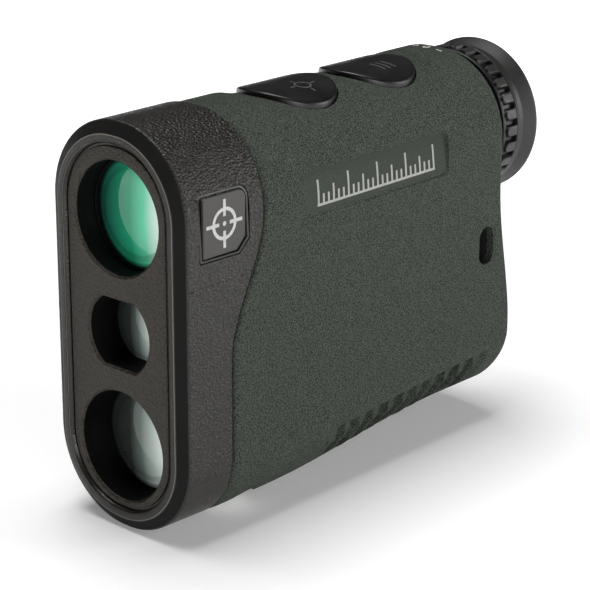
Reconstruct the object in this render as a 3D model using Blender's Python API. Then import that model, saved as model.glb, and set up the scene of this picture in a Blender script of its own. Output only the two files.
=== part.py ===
"""Handheld laser rangefinder, built as its real pieces: housing, optics, electronics, battery and controls.

Sizes are in millimetres until they reach a mesh. A point is given as (across, station, level): across is
+X, station is the distance behind the front rim, and level is the height above the middle of the body. The
object's own frame is in metres, with +Y towards the eyepiece, +Z up and its origin under the middle."""

import math

import bmesh
import bpy

MM = 0.001

# Overall size
LENGTH = 100.8
HALF_HEIGHT = 37.5
GAP = 0.3

# Outlines of the body, each as (half width, half height, corner radius)
ARMOUR = (17.4, 36.9, 16.2)
BEZEL_EDGE = (16.5, 37.5, 16.0)
BEZEL_SIDE = (16.8, 37.4, 16.0)
BEZEL_BACK = (17.1, 37.35, 16.0)
RIM = (14.2, 35.2, 13.7)
MOUTH = (13.0, 34.0, 12.5)
WINDOW = (12.5, 33.5, 12.0)
PLATE = (12.15, 33.15, 11.65)
LEDGE = (11.9, 32.9, 11.4)

# Walls, as insets from the armour's outline
ARMOUR_WALL = 2.0
CHASSIS_OUT = ARMOUR_WALL + GAP
CHASSIS_WALL = 1.5
CHASSIS_IN = CHASSIS_OUT + CHASSIS_WALL
REAR_ROUND = 1.6

# Stations of the front
CHAMFER_END = 1.5
MOUTH_DEPTH = 0.7
PLATE_FRONT = 0.5
PLATE_BACK = 2.2
LEDGE_FRONT = 2.5
LEDGE_BACK = 4.0
CHASSIS_FRONT = 5.0

# The line between bezel and armour: low, high, and the levels where it bends
BEZEL_MIDDLE = 7.5
PART_LOW = 11.4
PART_HIGH = 19.4
PART_BEND = (-4.0, 21.0)

# The rear face: high, low, and the levels where it bulges out over the battery
REAR_HIGH = 87.75
REAR_LOW = 91.75
REAR_BEND = (12.0, -19.0)

# The underside: it drops behind the bezel's edge and rises again towards the rear
DROP = 0.5
DROP_SPAN = (10.5, 14.5)
RISE = 3.55
RISE_SPAN = (26.0, 80.0)
BEND_LEVELS = (-8.0, -32.0)
BEND_STATIONS = (10.5, 14.5, 26.0, 35.0, 44.0, 53.0, 62.0, 71.0, 80.0)

# Axes, as levels
OBJECTIVE_AXIS = 20.4
EMITTER_AXIS = -0.65
RECEIVER_AXIS = -21.7
EYE_AXIS = 20.9
BATTERY_AXIS = -19.5

# Badges on the bezel's sides, and the shallow panels on the armour's sides, seen from the side
BADGE_STATIONS = (4.2, 16.0)
BADGE_LEVELS = (14.8, 26.9)
BADGE_CUT = 2.4
BADGE_ROUND = 2.0
BADGE_FLOOR = 15.9
BADGE_FACE = 16.75
BADGE_MARGIN = 0.75
PANEL_STATIONS = (30.3, 70.0)
PANEL_LEVELS = (17.4, 25.6)
PANEL_ROUND = 1.2

# Apertures
LENS_BORE = 10.23
EMITTER_BORE = 7.43
EMITTER_FLAT = 6.23
TUBE_WALL = 0.65
CHAMFER = 0.5

# Buttons
BUTTON_STATIONS = {"measure": 43.7, "menu": 66.2}
BUTTON_RADIUS = 9.2
BUTTON_PROUD = 0.0
BUTTON_INSET = 1.6
BUTTON_HOLE = 9.5
DISH_DEPTH = 0.9
DISH_WIDTH = 5.0
STEM_RADIUS = 3.0
STEM_HOLE = 3.6
STEM_FOOT = 31.9

# Lanyard passage, seen from the side
SLOT_STATION = 83.0
SLOT_LEVEL = 0.1
SLOT_SIZE = (4.4, 7.8)
SLEEVE_WALL = 0.7

# Eyepiece
EYE_HOLE = 12.3
RING_START = 91.0
RING_END = 94.9
RING_RADIUS = 15.05
RING_TEETH = 28
RING_TOOTH = 0.7
CUP_START = 95.2
CUP_RADIUS = 15.5

# Battery bay
CAP_RADIUS = 9.7
CAP_HOLE = 10.1
BATTERY_RADIUS = 7.8
BATTERY_LENGTH = 27.0
BATTERY_START = 57.2
BAY_BORE = 8.2
BAY_RADIUS = 9.2

# Grip hollows along both lower edges: rows of (level below the first row, half height, shift in pitches)
GRIP_PITCH = 4.3
GRIP_SPAN = (36.0, 85.5)
GRIP_DEPTH = 0.95
GRIP_ROWS = ((-0.5, 1.3, 0.0), (1.2, 1.3, 0.2), (3.3, 1.5, 0.1), (5.6, 1.6, 0.25))
GRIP_LEVEL = -27.0
GRIP_SLOPE = 0.072
GRIP_MIDDLE = 42.0
GRIP_WALL = 0.82

# Screws that hold the chassis halves together, as (station, level)
SCREWS = ((27.0, 30.4), (75.5, 29.2), (46.0, -24.0), (72.0, -4.5))
BOSS_RADIUS = 2.1
SCREW_RADIUS = 0.8
SCREW_HOLE = 1.1
SCREW_HEAD = 1.4
HEAD_HOLE = 1.7
SEAT_DEPTH = 2.0

CORNER_STEPS = 8
LOW_STEPS = 15
ARMOUR_SPAN = (29.0, 85.0)
ARMOUR_STEPS = 39
SIDE_STEPS = 8
FINE = 36
ROUND = 28
COARSE = 20
RIB_STEPS = 3

MATERIALS = {
    "armour": ((0.064, 0.074, 0.062), 0.75, 0.0),
    "bezel": ((0.035, 0.035, 0.033), 0.45, 0.0),
    "plate": ((0.03, 0.028, 0.025), 0.5, 0.0),
    "badge": ((0.10, 0.10, 0.10), 0.45, 0.2),
    "chassis": ((0.02, 0.02, 0.02), 0.6, 0.0),
    "button": ((0.008, 0.008, 0.008), 0.25, 0.0),
    "seal": ((0.01, 0.01, 0.01), 0.8, 0.0),
    "label": ((0.75, 0.75, 0.73), 0.5, 0.0),
    "metal": ((0.55, 0.55, 0.57), 0.3, 1.0),
    "dark_metal": ((0.03, 0.03, 0.032), 0.4, 0.9),
    "brass": ((0.78, 0.6, 0.3), 0.3, 1.0),
    "coated_glass": ((0.08, 0.35, 0.22), 0.05, 0.0),
    "glass": ((0.6, 0.66, 0.66), 0.05, 0.0),
    "board": ((0.02, 0.12, 0.05), 0.5, 0.0),
    "chip": ((0.015, 0.015, 0.018), 0.4, 0.0),
    "flex": ((0.55, 0.25, 0.04), 0.5, 0.0),
    "battery": ((0.05, 0.12, 0.3), 0.35, 0.3),
    "eyecup": ((0.012, 0.012, 0.012), 0.45, 0.0),
}


def clear_scene():
    for obj in list(bpy.data.objects):
        bpy.data.objects.remove(obj, do_unlink=True)


def material(name):
    if name in bpy.data.materials:
        return bpy.data.materials[name]
    colour, roughness, metallic = MATERIALS[name]
    made = bpy.data.materials.new(name)
    made.use_nodes = True
    shader = made.node_tree.nodes["Principled BSDF"]
    shader.inputs["Base Color"].default_value = (*colour, 1.0)
    shader.inputs["Roughness"].default_value = roughness
    shader.inputs["Metallic"].default_value = metallic
    made.diffuse_color = (*colour, 1.0)
    return made


def world(across, station, level):
    return (across * MM, (station - LENGTH / 2) * MM, (level + HALF_HEIGHT) * MM)


def smooth(value):
    """0 below 0, 1 above 1, and an even S between them."""
    held = min(max(value, 0.0), 1.0)
    return held * held * (3.0 - 2.0 * held)


def parting(level):
    low, high = PART_BEND
    return PART_LOW + (PART_HIGH - PART_LOW) * smooth((level - low) / (high - low))


def rear(level):
    high, low = REAR_BEND
    return REAR_HIGH + (REAR_LOW - REAR_HIGH) * smooth((high - level) / (high - low))


def underside(station):
    """How far the underside lies above its level at the front."""
    drop = DROP * smooth((station - DROP_SPAN[0]) / (DROP_SPAN[1] - DROP_SPAN[0]))
    return RISE * smooth((station - RISE_SPAN[0]) / (RISE_SPAN[1] - RISE_SPAN[0])) - drop


def bent(station, level):
    """The level of a point of the body once the underside is bent. Points above the bend don't move."""
    high, low = BEND_LEVELS
    return level + underside(station) * smooth((high - level) / (high - low))


def inset(outline, amount):
    return tuple(size - amount for size in outline)


def half_width(level, amount):
    """How far the armour's outline, set in by amount, reaches across at a level."""
    width, height, radius = inset(ARMOUR, amount)
    over = max(abs(level) - (height - radius), 0.0)
    return width - radius + math.sqrt(radius * radius - over * over)


def screw_seat(level):
    """How far across the step lies that a screw's head rests over."""
    edge = level + math.copysign(HEAD_HOLE, level)
    return half_width(edge, CHASSIS_OUT) - SEAT_DEPTH


def finish_object(name, bm, origin, colour):
    """Turns a bmesh in millimetres, drawn round its own origin, into a named object at origin."""
    bmesh.ops.recalc_face_normals(bm, faces=bm.faces)
    bmesh.ops.scale(bm, vec=(MM, MM, MM), verts=bm.verts)
    mesh = bpy.data.meshes.new(name)
    bm.to_mesh(mesh)
    bm.free()
    mesh.shade_smooth()
    mesh.set_sharp_from_angle(angle=math.radians(35))
    obj = bpy.data.objects.new(name, mesh)
    obj.location = world(*origin)
    bpy.context.scene.collection.objects.link(obj)
    if colour:
        mesh.materials.append(material(colour))
    else:
        obj.hide_render = True
        obj.display_type = "WIRE"
    return obj


def combine(target, tool, operation="DIFFERENCE"):
    """Cuts tool out of target, or joins it on, and keeps the tool as a hidden helper."""
    modifier = target.modifiers.new(f"{operation.lower()}_{tool.name}", "BOOLEAN")
    modifier.operation = operation
    modifier.solver = "EXACT"
    modifier.object = tool
    tool.hide_render = True
    tool.display_type = "WIRE"


def corner_points(outline, steps):
    """A quarter of an outline, from its top to its side, as (across, level)."""
    width, height, radius = outline
    turns = [math.radians(90 * step / steps) for step in range(steps + 1)]
    flat = width - radius
    straight = height - radius
    return [(flat + radius * math.sin(turn), straight + radius * math.cos(turn)) for turn in turns]


def side_points(outline, low_steps=CORNER_STEPS):
    """The right side of an outline from its top to its bottom, as (across, level)."""
    width, height, radius = outline
    straight = height - radius
    levels = [straight * (1 - 2 * step / SIDE_STEPS) for step in range(1, SIDE_STEPS)]
    side = [(width, level) for level in levels]
    bottom = [(across, -level) for across, level in reversed(corner_points(outline, low_steps))]
    return corner_points(outline, CORNER_STEPS) + side + bottom


def body_loft(name, rings, colour=None, low_steps=CORNER_STEPS):
    """A closed solid through rings of (outline, station), where station is a number or a function of level.

    A third item in a ring is a function of (across, station, level): the depth that a point is pressed in."""
    bm = bmesh.new()
    loops = []
    for outline, station, *press in rings:
        right = []
        left = []
        for across, level in side_points(outline, low_steps):
            where = station(level) if callable(station) else station
            high = bent(where, level)
            if press:
                across, high = pressed(across, where, high, level, press[0](across, where, high))
            right.append(bm.verts.new((across, where, high)))
            left.append(bm.verts.new((-across, where, high)))
        loops.append((right, left))
    for (right_a, left_a), (right_b, left_b) in zip(loops, loops[1:]):
        around_a = right_a + left_a[::-1]
        around_b = right_b + left_b[::-1]
        count = len(around_a)
        for i in range(count):
            j = (i + 1) % count
            bm.faces.new((around_a[i], around_a[j], around_b[j], around_b[i]))
    for right, left in (loops[0], loops[-1]):
        for i in range(len(right) - 1):
            bm.faces.new((right[i], right[i + 1], left[i + 1], left[i]))
    return finish_object(name, bm, (0, 0, 0), colour)


def pressed(across, station, high, level, depth):
    """Moves a point of the armour's outline in along its normal. level is its level before the bend."""
    width, height, radius = ARMOUR
    out = max(across - (width - radius), 0.0) / radius
    over = max(abs(level) - (height - radius), 0.0)
    up = math.copysign(over / radius, level)
    return across - out * depth, high - up * depth


def through_bend(outline, front, back):
    """Rings from front to back with the stations between them that the bent underside needs."""
    between = [station for station in BEND_STATIONS if station > front + 1.0]
    last = back(0.0) if callable(back) else back
    between = [station for station in between if station < last - 1.0]
    return [(outline, front), *[(outline, station) for station in between], (outline, back)]


def turned(name, colour, level, profile, segments=ROUND, tooth=None):
    """A solid turned about an axis along Y at a level, from a closed profile of (radius, station).

    A radius of 0 closes the solid on its axis. tooth is (radius, depth of a turn): it cuts from there up."""
    bm = bmesh.new()
    start = profile[0][1]
    columns = []
    for radius, station in profile:
        if radius == 0:
            columns.append([bm.verts.new((0, station - start, 0))] * segments)
            continue
        column = []
        for i in range(segments):
            turn = 2 * math.pi * i / segments
            reach = radius - tooth[1](turn) if tooth and radius >= tooth[0] else radius
            column.append(bm.verts.new((reach * math.cos(turn), station - start, reach * math.sin(turn))))
        columns.append(column)
    for one, two in zip(columns, columns[1:] + columns[:1]):
        for i in range(segments):
            j = (i + 1) % segments
            corners = list(dict.fromkeys((one[i], one[j], two[j], two[i])))
            if len(corners) > 2:
                bm.faces.new(corners)
    return finish_object(name, bm, (0, start, level), colour)


def prism(name, outline, low, high, axis, origin, colour=None):
    """An outline pushed along an axis. It is (station, level) along X, and (across, station) along Z."""
    bm = bmesh.new()
    rims = []
    for depth in (low, high):
        if axis == "X":
            rims.append([bm.verts.new((depth, a, b)) for a, b in outline])
        elif axis == "Y":
            rims.append([bm.verts.new((a, depth, b)) for a, b in outline])
        else:
            rims.append([bm.verts.new((a, b, depth)) for a, b in outline])
    for rim in rims:
        bm.faces.new(rim)
    for i in range(len(outline)):
        j = (i + 1) % len(outline)
        bm.faces.new((rims[0][i], rims[0][j], rims[1][j], rims[1][i]))
    return finish_object(name, bm, origin, colour)


def box(name, colour, across, stations, levels):
    """A plain block between three pairs of limits, with its origin at its centre."""
    centre = [(low + high) / 2 for low, high in (across, stations, levels)]
    half = [(high - low) / 2 for low, high in (across, stations, levels)]
    outline = [(-half[0], -half[1]), (half[0], -half[1]), (half[0], half[1]), (-half[0], half[1])]
    return prism(name, outline, -half[2], half[2], "Z", centre, colour)


def arc(centre, radii, first, last, steps):
    """Points on an ellipse from one angle to another, in degrees."""
    turns = [math.radians(first + (last - first) * step / steps) for step in range(steps + 1)]
    return [(centre[0] + radii[0] * math.cos(t), centre[1] + radii[1] * math.sin(t)) for t in turns]


def circle(centre, radius, steps=COARSE):
    return arc(centre, (radius, radius), 0, 360 - 360 / steps, steps - 1)


def oblong(centre, size, steps=8):
    """A slot outline with round ends above and below."""
    radius = size[0] / 2
    rise = size[1] / 2 - radius
    top = arc((centre[0], centre[1] + rise), (radius, radius), 0, 180, steps)
    return top + arc((centre[0], centre[1] - rise), (radius, radius), 180, 360, steps)


def lens_profile(radius, front_edge, back_edge, front_rise, back_rise, steps=4):
    """A lens from its front pole to its back pole; a rise is how far a pole stands out from its edge."""
    shares = [i / steps for i in range(steps + 1)]
    front = [(radius * share, front_edge - front_rise * (1 - share**2)) for share in shares]
    back = [(radius * share, back_edge + back_rise * (1 - share**2)) for share in shares]
    return front + back[::-1]


def armour_skin(name, amount, front=-10.0):
    """A helper solid with the armour's outer shape, set in by amount."""
    outline = inset(ARMOUR, amount)
    return body_loft(name, through_bend(outline, front, lambda level: rear(level) - max(amount, 0)))


# Housing


def badge_outline(margin):
    """The badge on the bezel's side, as (station, level): round above, with one corner cut off below."""
    low, high = BADGE_STATIONS[0] + margin, BADGE_STATIONS[1] - margin
    floor, top = BADGE_LEVELS[0] + margin, BADGE_LEVELS[1] - margin
    cut = BADGE_CUT - margin * 0.4
    rounding = BADGE_ROUND - margin * 0.5
    corner = arc((high - rounding, top - rounding), (rounding, rounding), 0, 90, 4)
    return [(low, floor), (high - cut, floor), (high, floor + cut), *corner, (low, top)]


def emitter_outline(extra):
    """The middle aperture, as (across, level): a circle with a flat above and below."""
    radius = EMITTER_BORE + extra
    flat = EMITTER_FLAT + extra
    turn = math.degrees(math.asin(flat / radius))
    right = arc((0, 0), (radius, radius), -turn, turn, 8)
    return right + arc((0, 0), (radius, radius), 180 - turn, 180 + turn, 8)


def front_bezel():
    rings = [(RIM, 0.0), (BEZEL_EDGE, CHAMFER_END), (BEZEL_SIDE, BEZEL_MIDDLE), (BEZEL_BACK, parting)]
    bezel = body_loft("front_bezel", rings, "bezel")
    mouth = [(MOUTH, -1.0), (MOUTH, 0.0), (WINDOW, MOUTH_DEPTH), (WINDOW, LEDGE_FRONT)]
    combine(bezel, body_loft("cut_window", mouth))
    combine(bezel, body_loft("cut_ledge", [(LEDGE, 1.0), (LEDGE, 6.0)]))
    cavity = inset(ARMOUR, ARMOUR_WALL)
    combine(bezel, body_loft("cut_bezel_cavity", through_bend(cavity, LEDGE_BACK, 25.0)))
    for side in (1, -1):
        tag = "right" if side > 0 else "left"
        limits = sorted((side * BADGE_FLOOR, side * 18.5))
        combine(bezel, prism(f"cut_badge_{tag}", badge_outline(0), *limits, "X", (0, 0, 0)))


def badges():
    for side, tag in ((1, "right"), (-1, "left")):
        limits = sorted((side * (BADGE_FLOOR + GAP), side * BADGE_FACE))
        prism(f"badge_{tag}", badge_outline(BADGE_MARGIN), *limits, "X", (0, 0, 0), "badge")


def front_plate():
    plate = body_loft("front_plate", [(PLATE, PLATE_FRONT), (PLATE, PLATE_BACK)], "plate")
    for tag, level in (("objective", OBJECTIVE_AXIS), ("receiver", RECEIVER_AXIS)):
        lip = PLATE_FRONT - 0.1
        mouth = LENS_BORE + CHAMFER + 0.1
        profile = [(0, lip), (mouth, lip), (LENS_BORE, PLATE_FRONT + CHAMFER), (LENS_BORE, 4.0), (0, 4.0)]
        combine(plate, turned(f"cut_{tag}_bore", None, level, profile, FINE))
    middle = (0, 0, EMITTER_AXIS)
    combine(plate, prism("cut_emitter_bore", emitter_outline(0), -1.0, 4.0, "Y", middle))
    bm = bmesh.new()
    rims = []
    for extra, station in ((CHAMFER + 0.1, PLATE_FRONT - 0.1), (0.0, PLATE_FRONT + CHAMFER)):
        rims.append([bm.verts.new((a, station, b)) for a, b in emitter_outline(extra)])
    for rim in rims:
        bm.faces.new(rim)
    for i in range(len(rims[0])):
        j = (i + 1) % len(rims[0])
        bm.faces.new((rims[0][i], rims[0][j], rims[1][j], rims[1][i]))
    combine(plate, finish_object("cut_emitter_chamfer", bm, middle, None))


def bezel_gasket():
    outer = inset(ARMOUR, CHASSIS_OUT + GAP)
    inner = inset(ARMOUR, CHASSIS_IN - 0.2)
    low, high = LEDGE_BACK + GAP, CHASSIS_FRONT - GAP
    gasket = body_loft("bezel_gasket", [(outer, low), (outer, high)], "seal")
    combine(gasket, body_loft("cut_gasket", [(inner, low - 1), (inner, high + 1)]))


def add_bosses(half, side, tag):
    """Screw bosses from the mid-plane to the wall, each with a hole, and a seat for the head on the right."""
    for number, (station, level) in enumerate(SCREWS, 1):
        inner, outer = sorted((side * GAP / 2, side * (half_width(level, CHASSIS_IN) + 1.0)))
        place = (0, station, level)
        round_boss = circle((0, 0), BOSS_RADIUS, 16)
        boss = prism(f"boss_{tag}_{number}", round_boss, inner, outer, "X", place)
        combine(boss, armour_skin(f"keep_boss_{tag}_{number}", CHASSIS_OUT + 0.1), "INTERSECT")
        combine(half, boss, "UNION")
        low, high = (-1.0, 20.0) if side > 0 else (-7.5, 1.0)
        round_hole = circle((0, 0), SCREW_HOLE, 12)
        combine(half, prism(f"cut_screw_{tag}_{number}", round_hole, low, high, "X", place))
        if side > 0:
            head = circle((0, 0), HEAD_HOLE, 12)
            combine(half, prism(f"cut_head_{number}", head, screw_seat(level), 20.0, "X", place))


def chassis_half(side):
    tag = "right" if side > 0 else "left"
    outer = inset(ARMOUR, CHASSIS_OUT)
    inner = inset(ARMOUR, CHASSIS_IN)
    rings = through_bend(outer, CHASSIS_FRONT, lambda level: rear(level) - CHASSIS_OUT)
    half = body_loft(f"chassis_{tag}", rings, "chassis")
    rings = through_bend(inner, CHASSIS_FRONT - 4, lambda level: rear(level) - CHASSIS_IN)
    combine(half, body_loft(f"cut_chassis_{tag}_inside", rings))
    away = sorted((side * GAP / 2, -side * 20.0))
    combine(half, box(f"cut_chassis_{tag}_split", None, away, (0, 100), (-40, 40)))
    add_bosses(half, side, tag)
    eye = [(0, 70), (EYE_HOLE, 70), (EYE_HOLE, 100), (0, 100)]
    combine(half, turned(f"cut_chassis_{tag}_eye", None, EYE_AXIS, eye))
    bay = [(0, 85), (BAY_RADIUS + GAP, 85), (BAY_RADIUS + GAP, 100), (0, 100)]
    combine(half, turned(f"cut_chassis_{tag}_bay", None, BATTERY_AXIS, bay))
    room = [size + 2 * (SLEEVE_WALL + GAP) for size in SLOT_SIZE]
    slot = oblong((SLOT_STATION, SLOT_LEVEL), room)
    combine(half, prism(f"cut_chassis_{tag}_slot", slot, -20, 20, "X", (0, 0, 0)))
    for button, station in BUTTON_STATIONS.items():
        stem = circle((0, station), STEM_HOLE, 20)
        combine(half, prism(f"cut_chassis_{tag}_{button}", stem, 28.0, 40.0, "Z", (0, 0, 0)))


def grip_depth(station, level):
    """Overlapping hollows, each a ramp that deepens towards the rear and ends in a short wall."""
    start, end = GRIP_SPAN
    fade = smooth((station - start) / 8.0) * smooth((end - station) / 2.5)
    first = GRIP_LEVEL + GRIP_SLOPE * (station - GRIP_MIDDLE)
    deepest = 0.0
    for below, half, shift in GRIP_ROWS:
        share = 1.0 - abs(level - first + below) / half
        phase = ((station - GRIP_MIDDLE) / GRIP_PITCH - shift) % 1.0
        ramp = phase if phase < GRIP_WALL else (1.0 - phase) / (1.0 - GRIP_WALL)
        deepest = max(deepest, ramp * smooth(2.0 * share))
    return GRIP_DEPTH * deepest * fade


def dish_depth(across, station):
    """The soft dish round both buttons."""
    left = 1.0
    for centre in BUTTON_STATIONS.values():
        away = math.hypot(across, station - centre) - BUTTON_HOLE
        left *= smooth(away / DISH_WIDTH)
    return DISH_DEPTH * (1.0 - left)


def armour_press(across, station, level):
    if level > 0:
        return dish_depth(across, station)
    return grip_depth(station, level)


def armour_rings():
    """Rings round the armour's outside: its front edge, its length and its rounded rear edge."""
    rings = []
    for depth, behind in ((0.75, 0.35), (0.15, 0.9)):
        rings.append((inset(ARMOUR, depth), lambda level, b=behind: parting(level) + b))
    rings.append((ARMOUR, lambda level: parting(level) + 1.7))
    rings.append((ARMOUR, 26.0, armour_press))
    first, last = ARMOUR_SPAN
    for step in range(ARMOUR_STEPS + 1):
        rings.append((ARMOUR, first + (last - first) * step / ARMOUR_STEPS, armour_press))
    for turn in (0, 30, 60, 90):
        angle = math.radians(turn)
        back = REAR_ROUND * (1 - math.sin(angle))
        drawn = inset(ARMOUR, REAR_ROUND * (1 - math.cos(angle)))
        rings.append((drawn, lambda level, b=back: rear(level) - b))
    return rings


def rubber_armour():
    armour = body_loft("rubber_armour", armour_rings(), "armour", LOW_STEPS)
    inner = inset(ARMOUR, ARMOUR_WALL)
    rings = through_bend(inner, 5.0, lambda level: rear(level) - ARMOUR_WALL)
    combine(armour, body_loft("cut_armour_inside", rings))
    eye = [(0, 70), (EYE_HOLE, 70), (EYE_HOLE, 100), (0, 100)]
    combine(armour, turned("cut_armour_eye", None, EYE_AXIS, eye, FINE))
    cap = [(0, 88), (CAP_HOLE, 88), (CAP_HOLE, 100), (0, 100)]
    combine(armour, turned("cut_armour_cap", None, BATTERY_AXIS, cap, FINE))
    slot = oblong((SLOT_STATION, SLOT_LEVEL), SLOT_SIZE)
    combine(armour, prism("cut_armour_slot", slot, -20, 20, "X", (0, 0, 0)))
    for button, station in BUTTON_STATIONS.items():
        hole = circle((0, station), BUTTON_HOLE, FINE)
        combine(armour, prism(f"cut_armour_{button}", hole, 20.0, 45.0, "Z", (0, 0, 0)))
    for side, tag in ((1, "right"), (-1, "left")):
        (start, end), (low, high) = PANEL_STATIONS, PANEL_LEVELS
        corner = arc((end - PANEL_ROUND, high - PANEL_ROUND), (PANEL_ROUND, PANEL_ROUND), 0, 90, 3)
        outline = [(start, low), (end, low), *corner, (start, high)]
        limits = sorted((side * 14.0, side * 19.0))
        panel = prism(f"cut_panel_{tag}", outline, *limits, "X", (0, 0, 0))
        combine(panel, armour_skin(f"keep_panel_{tag}", 0.4))
        combine(armour, panel)
    recess = prism("cut_label", arc((0, 20.5), (12.4, 6.0), 0, 352.5, 47), -40, -25, "Z", (0, 0, 0))
    combine(recess, armour_skin("keep_label", 0.9))
    combine(armour, recess)


def label_plate():
    """A blank oval plate that follows the curve of the underside, in a shallow recess."""
    outline = arc((0, 20.5), (12.0, 5.6), 0, 350, 35)
    label = prism("label_plate", outline, -40, -25, "Z", (0, 0, 0), "label")
    combine(label, armour_skin("cut_label_inside", 0.6))
    combine(label, armour_skin("keep_label_outside", 0.2), "INTERSECT")


def lanyard_sleeve():
    reach = ARMOUR[0] - CHASSIS_OUT
    room = [size + 2 * SLEEVE_WALL for size in SLOT_SIZE]
    outline = oblong((0, 0), room)
    place = (0, SLOT_STATION, SLOT_LEVEL)
    sleeve = prism("lanyard_sleeve", outline, -reach, reach, "X", place, "chassis")
    combine(sleeve, prism("cut_sleeve", oblong((0, 0), SLOT_SIZE), -20, 20, "X", place))


def housing_screws():
    for number, (station, level) in enumerate(SCREWS, 1):
        seat = screw_seat(level) + GAP
        tip = -7.0
        bm = bmesh.new()
        profile = [(0, tip), (SCREW_RADIUS, tip + 0.6), (SCREW_RADIUS, seat), (SCREW_HEAD, seat)]
        profile += [(SCREW_HEAD, seat + 1.2), (0.5, seat + 1.2), (0.5, seat + 0.6), (0, seat + 0.6)]
        columns = []
        for radius, reach in profile:
            if radius == 0:
                columns.append([bm.verts.new((reach - seat, 0, 0))] * 12)
                continue
            turns = [math.radians(30 * i) for i in range(12)]
            columns.append(
                [bm.verts.new((reach - seat, radius * math.cos(t), radius * math.sin(t))) for t in turns]
            )
        for one, two in zip(columns, columns[1:]):
            for i in range(12):
                j = (i + 1) % 12
                corners = list(dict.fromkeys((one[i], one[j], two[j], two[i])))
                bm.faces.new(corners)
        finish_object(f"housing_screw_{number}", bm, (seat, station, level), "metal")


# Controls


def button(tag, station):
    """A cap that follows the curve of the body, on a stem that reaches the switch below it."""
    origin = (0, station, 0)
    cap = prism(f"{tag}_button", circle((0, 0), BUTTON_RADIUS, FINE), 20.0, 45.0, "Z", origin, "button")
    combine(cap, armour_skin(f"keep_{tag}_top", -BUTTON_PROUD), "INTERSECT")
    combine(cap, armour_skin(f"cut_{tag}_under", BUTTON_INSET))
    stem = prism(f"stem_{tag}", circle((0, 0), STEM_RADIUS, 20), STEM_FOOT, 36.0, "Z", origin)
    combine(cap, stem, "UNION")


def ring_about_z(name, colour, inner, outer, levels, station):
    ring = prism(name, circle((0, 0), outer, 20), *levels, "Z", (0, station, 0), colour)
    hole = circle((0, 0), inner, 20)
    combine(ring, prism(f"cut_{name}", hole, levels[0] - 1, levels[1] + 1, "Z", (0, station, 0)))


def controls():
    for tag, station in BUTTON_STATIONS.items():
        button(tag, station)
        ring_about_z(f"{tag}_button_seal", "seal", STEM_RADIUS + 0.35, 4.4, (31.7, 32.3), station)
        dome = circle((0, 0), 2.8, 16)
        prism(f"{tag}_dome_switch", dome, 30.6, 31.1, "Z", (0, station, 0), "metal")
    box("switch_board", "board", (-7.5, 7.5), (34.0, 72.0), (29.3, 30.3))


# Optics


def objective():
    bore = LENS_BORE + 0.02
    outer = LENS_BORE + TUBE_WALL
    seat = 9.8
    cell = [(outer, 2.5), (outer, 20.0), (9.2, 20.0), (9.2, seat), (bore, seat), (bore, 2.5)]
    turned("objective_cell", "dark_metal", OBJECTIVE_AXIS, cell, FINE)
    turned("objective_lens", "coated_glass", OBJECTIVE_AXIS, lens_profile(9.95, 5.9, 8.8, 1.2, 0.3), FINE)
    retainer = [(10.05, 4.9), (10.05, 5.7), (9.75, 5.7), (9.75, 4.9)]
    turned("objective_retainer", "dark_metal", OBJECTIVE_AXIS, retainer, FINE)
    seal = [(9.9, 9.1), (9.9, 9.5), (9.35, 9.5), (9.35, 9.1)]
    turned("objective_oring", "seal", OBJECTIVE_AXIS, seal, COARSE)


def emitter():
    tube = [(8.2, 2.5), (8.2, 36.0), (3.1, 36.0), (3.1, 34.6)]
    tube += [(6.6, 34.6), (6.6, 10.2), (7.5, 10.2), (7.5, 2.5)]
    turned("emitter_tube", "dark_metal", EMITTER_AXIS, tube)
    turned("emitter_lens", "glass", EMITTER_AXIS, lens_profile(7.2, 6.9, 9.8, 1.0, 0.2), ROUND)
    can = [(0, 32.0), (2.7, 32.0), (2.7, 36.3), (3.6, 36.3), (3.6, 37.1), (1.2, 37.1), (1.2, 39.0), (0, 39.0)]
    turned("laser_diode", "brass", EMITTER_AXIS, can, COARSE)


def receiver():
    bore = LENS_BORE + 0.02
    outer = LENS_BORE + TUBE_WALL
    tube = [(outer, 2.5), (outer, 12.0), (4.2, 33.0), (3.4, 33.0)]
    tube += [(9.3, 13.2), (9.3, 10.6), (bore, 10.6), (bore, 2.5)]
    turned("receiver_tube", "dark_metal", RECEIVER_AXIS, tube, FINE)
    turned("receiver_lens", "glass", RECEIVER_AXIS, lens_profile(9.95, 7.3, 10.2, 1.1, 0.2), FINE)
    can = [(0, 31.0), (2.6, 31.0), (2.6, 34.4), (0, 34.4)]
    turned("photodiode", "brass", RECEIVER_AXIS, can, COARSE)
    box("receiver_board", "board", (-9.0, 9.0), (34.7, 35.7), (-30.0, -13.0))


def prisms():
    """The pair of erecting prisms, drawn from the side, in a tray under them."""
    front = [(46.0, 13.4), (57.4, 13.4), (46.0, 27.6)]
    rearward = [(58.6, 13.4), (69.0, 13.4), (69.0, 24.0), (66.0, 27.6), (47.4, 27.6)]
    prism("front_prism", front, -6.5, 6.5, "X", (0, 0, 0), "glass")
    prism("roof_prism", rearward, -6.5, 6.5, "X", (0, 0, 0), "glass")
    tray = box("prism_tray", "dark_metal", (-8.3, 8.3), (44.5, 70.5), (11.6, 18.0))
    combine(tray, box("cut_prism_tray", None, (-7.0, 7.0), (40.0, 75.0), (13.0, 20.0)))
    frame = box("reticle_display", "chip", (-7.5, 7.5), (72.4, 74.4), (13.4, 27.0))
    combine(frame, box("cut_display", None, (-5.0, 5.0), (70.0, 76.0), (16.4, 25.4)))


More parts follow.
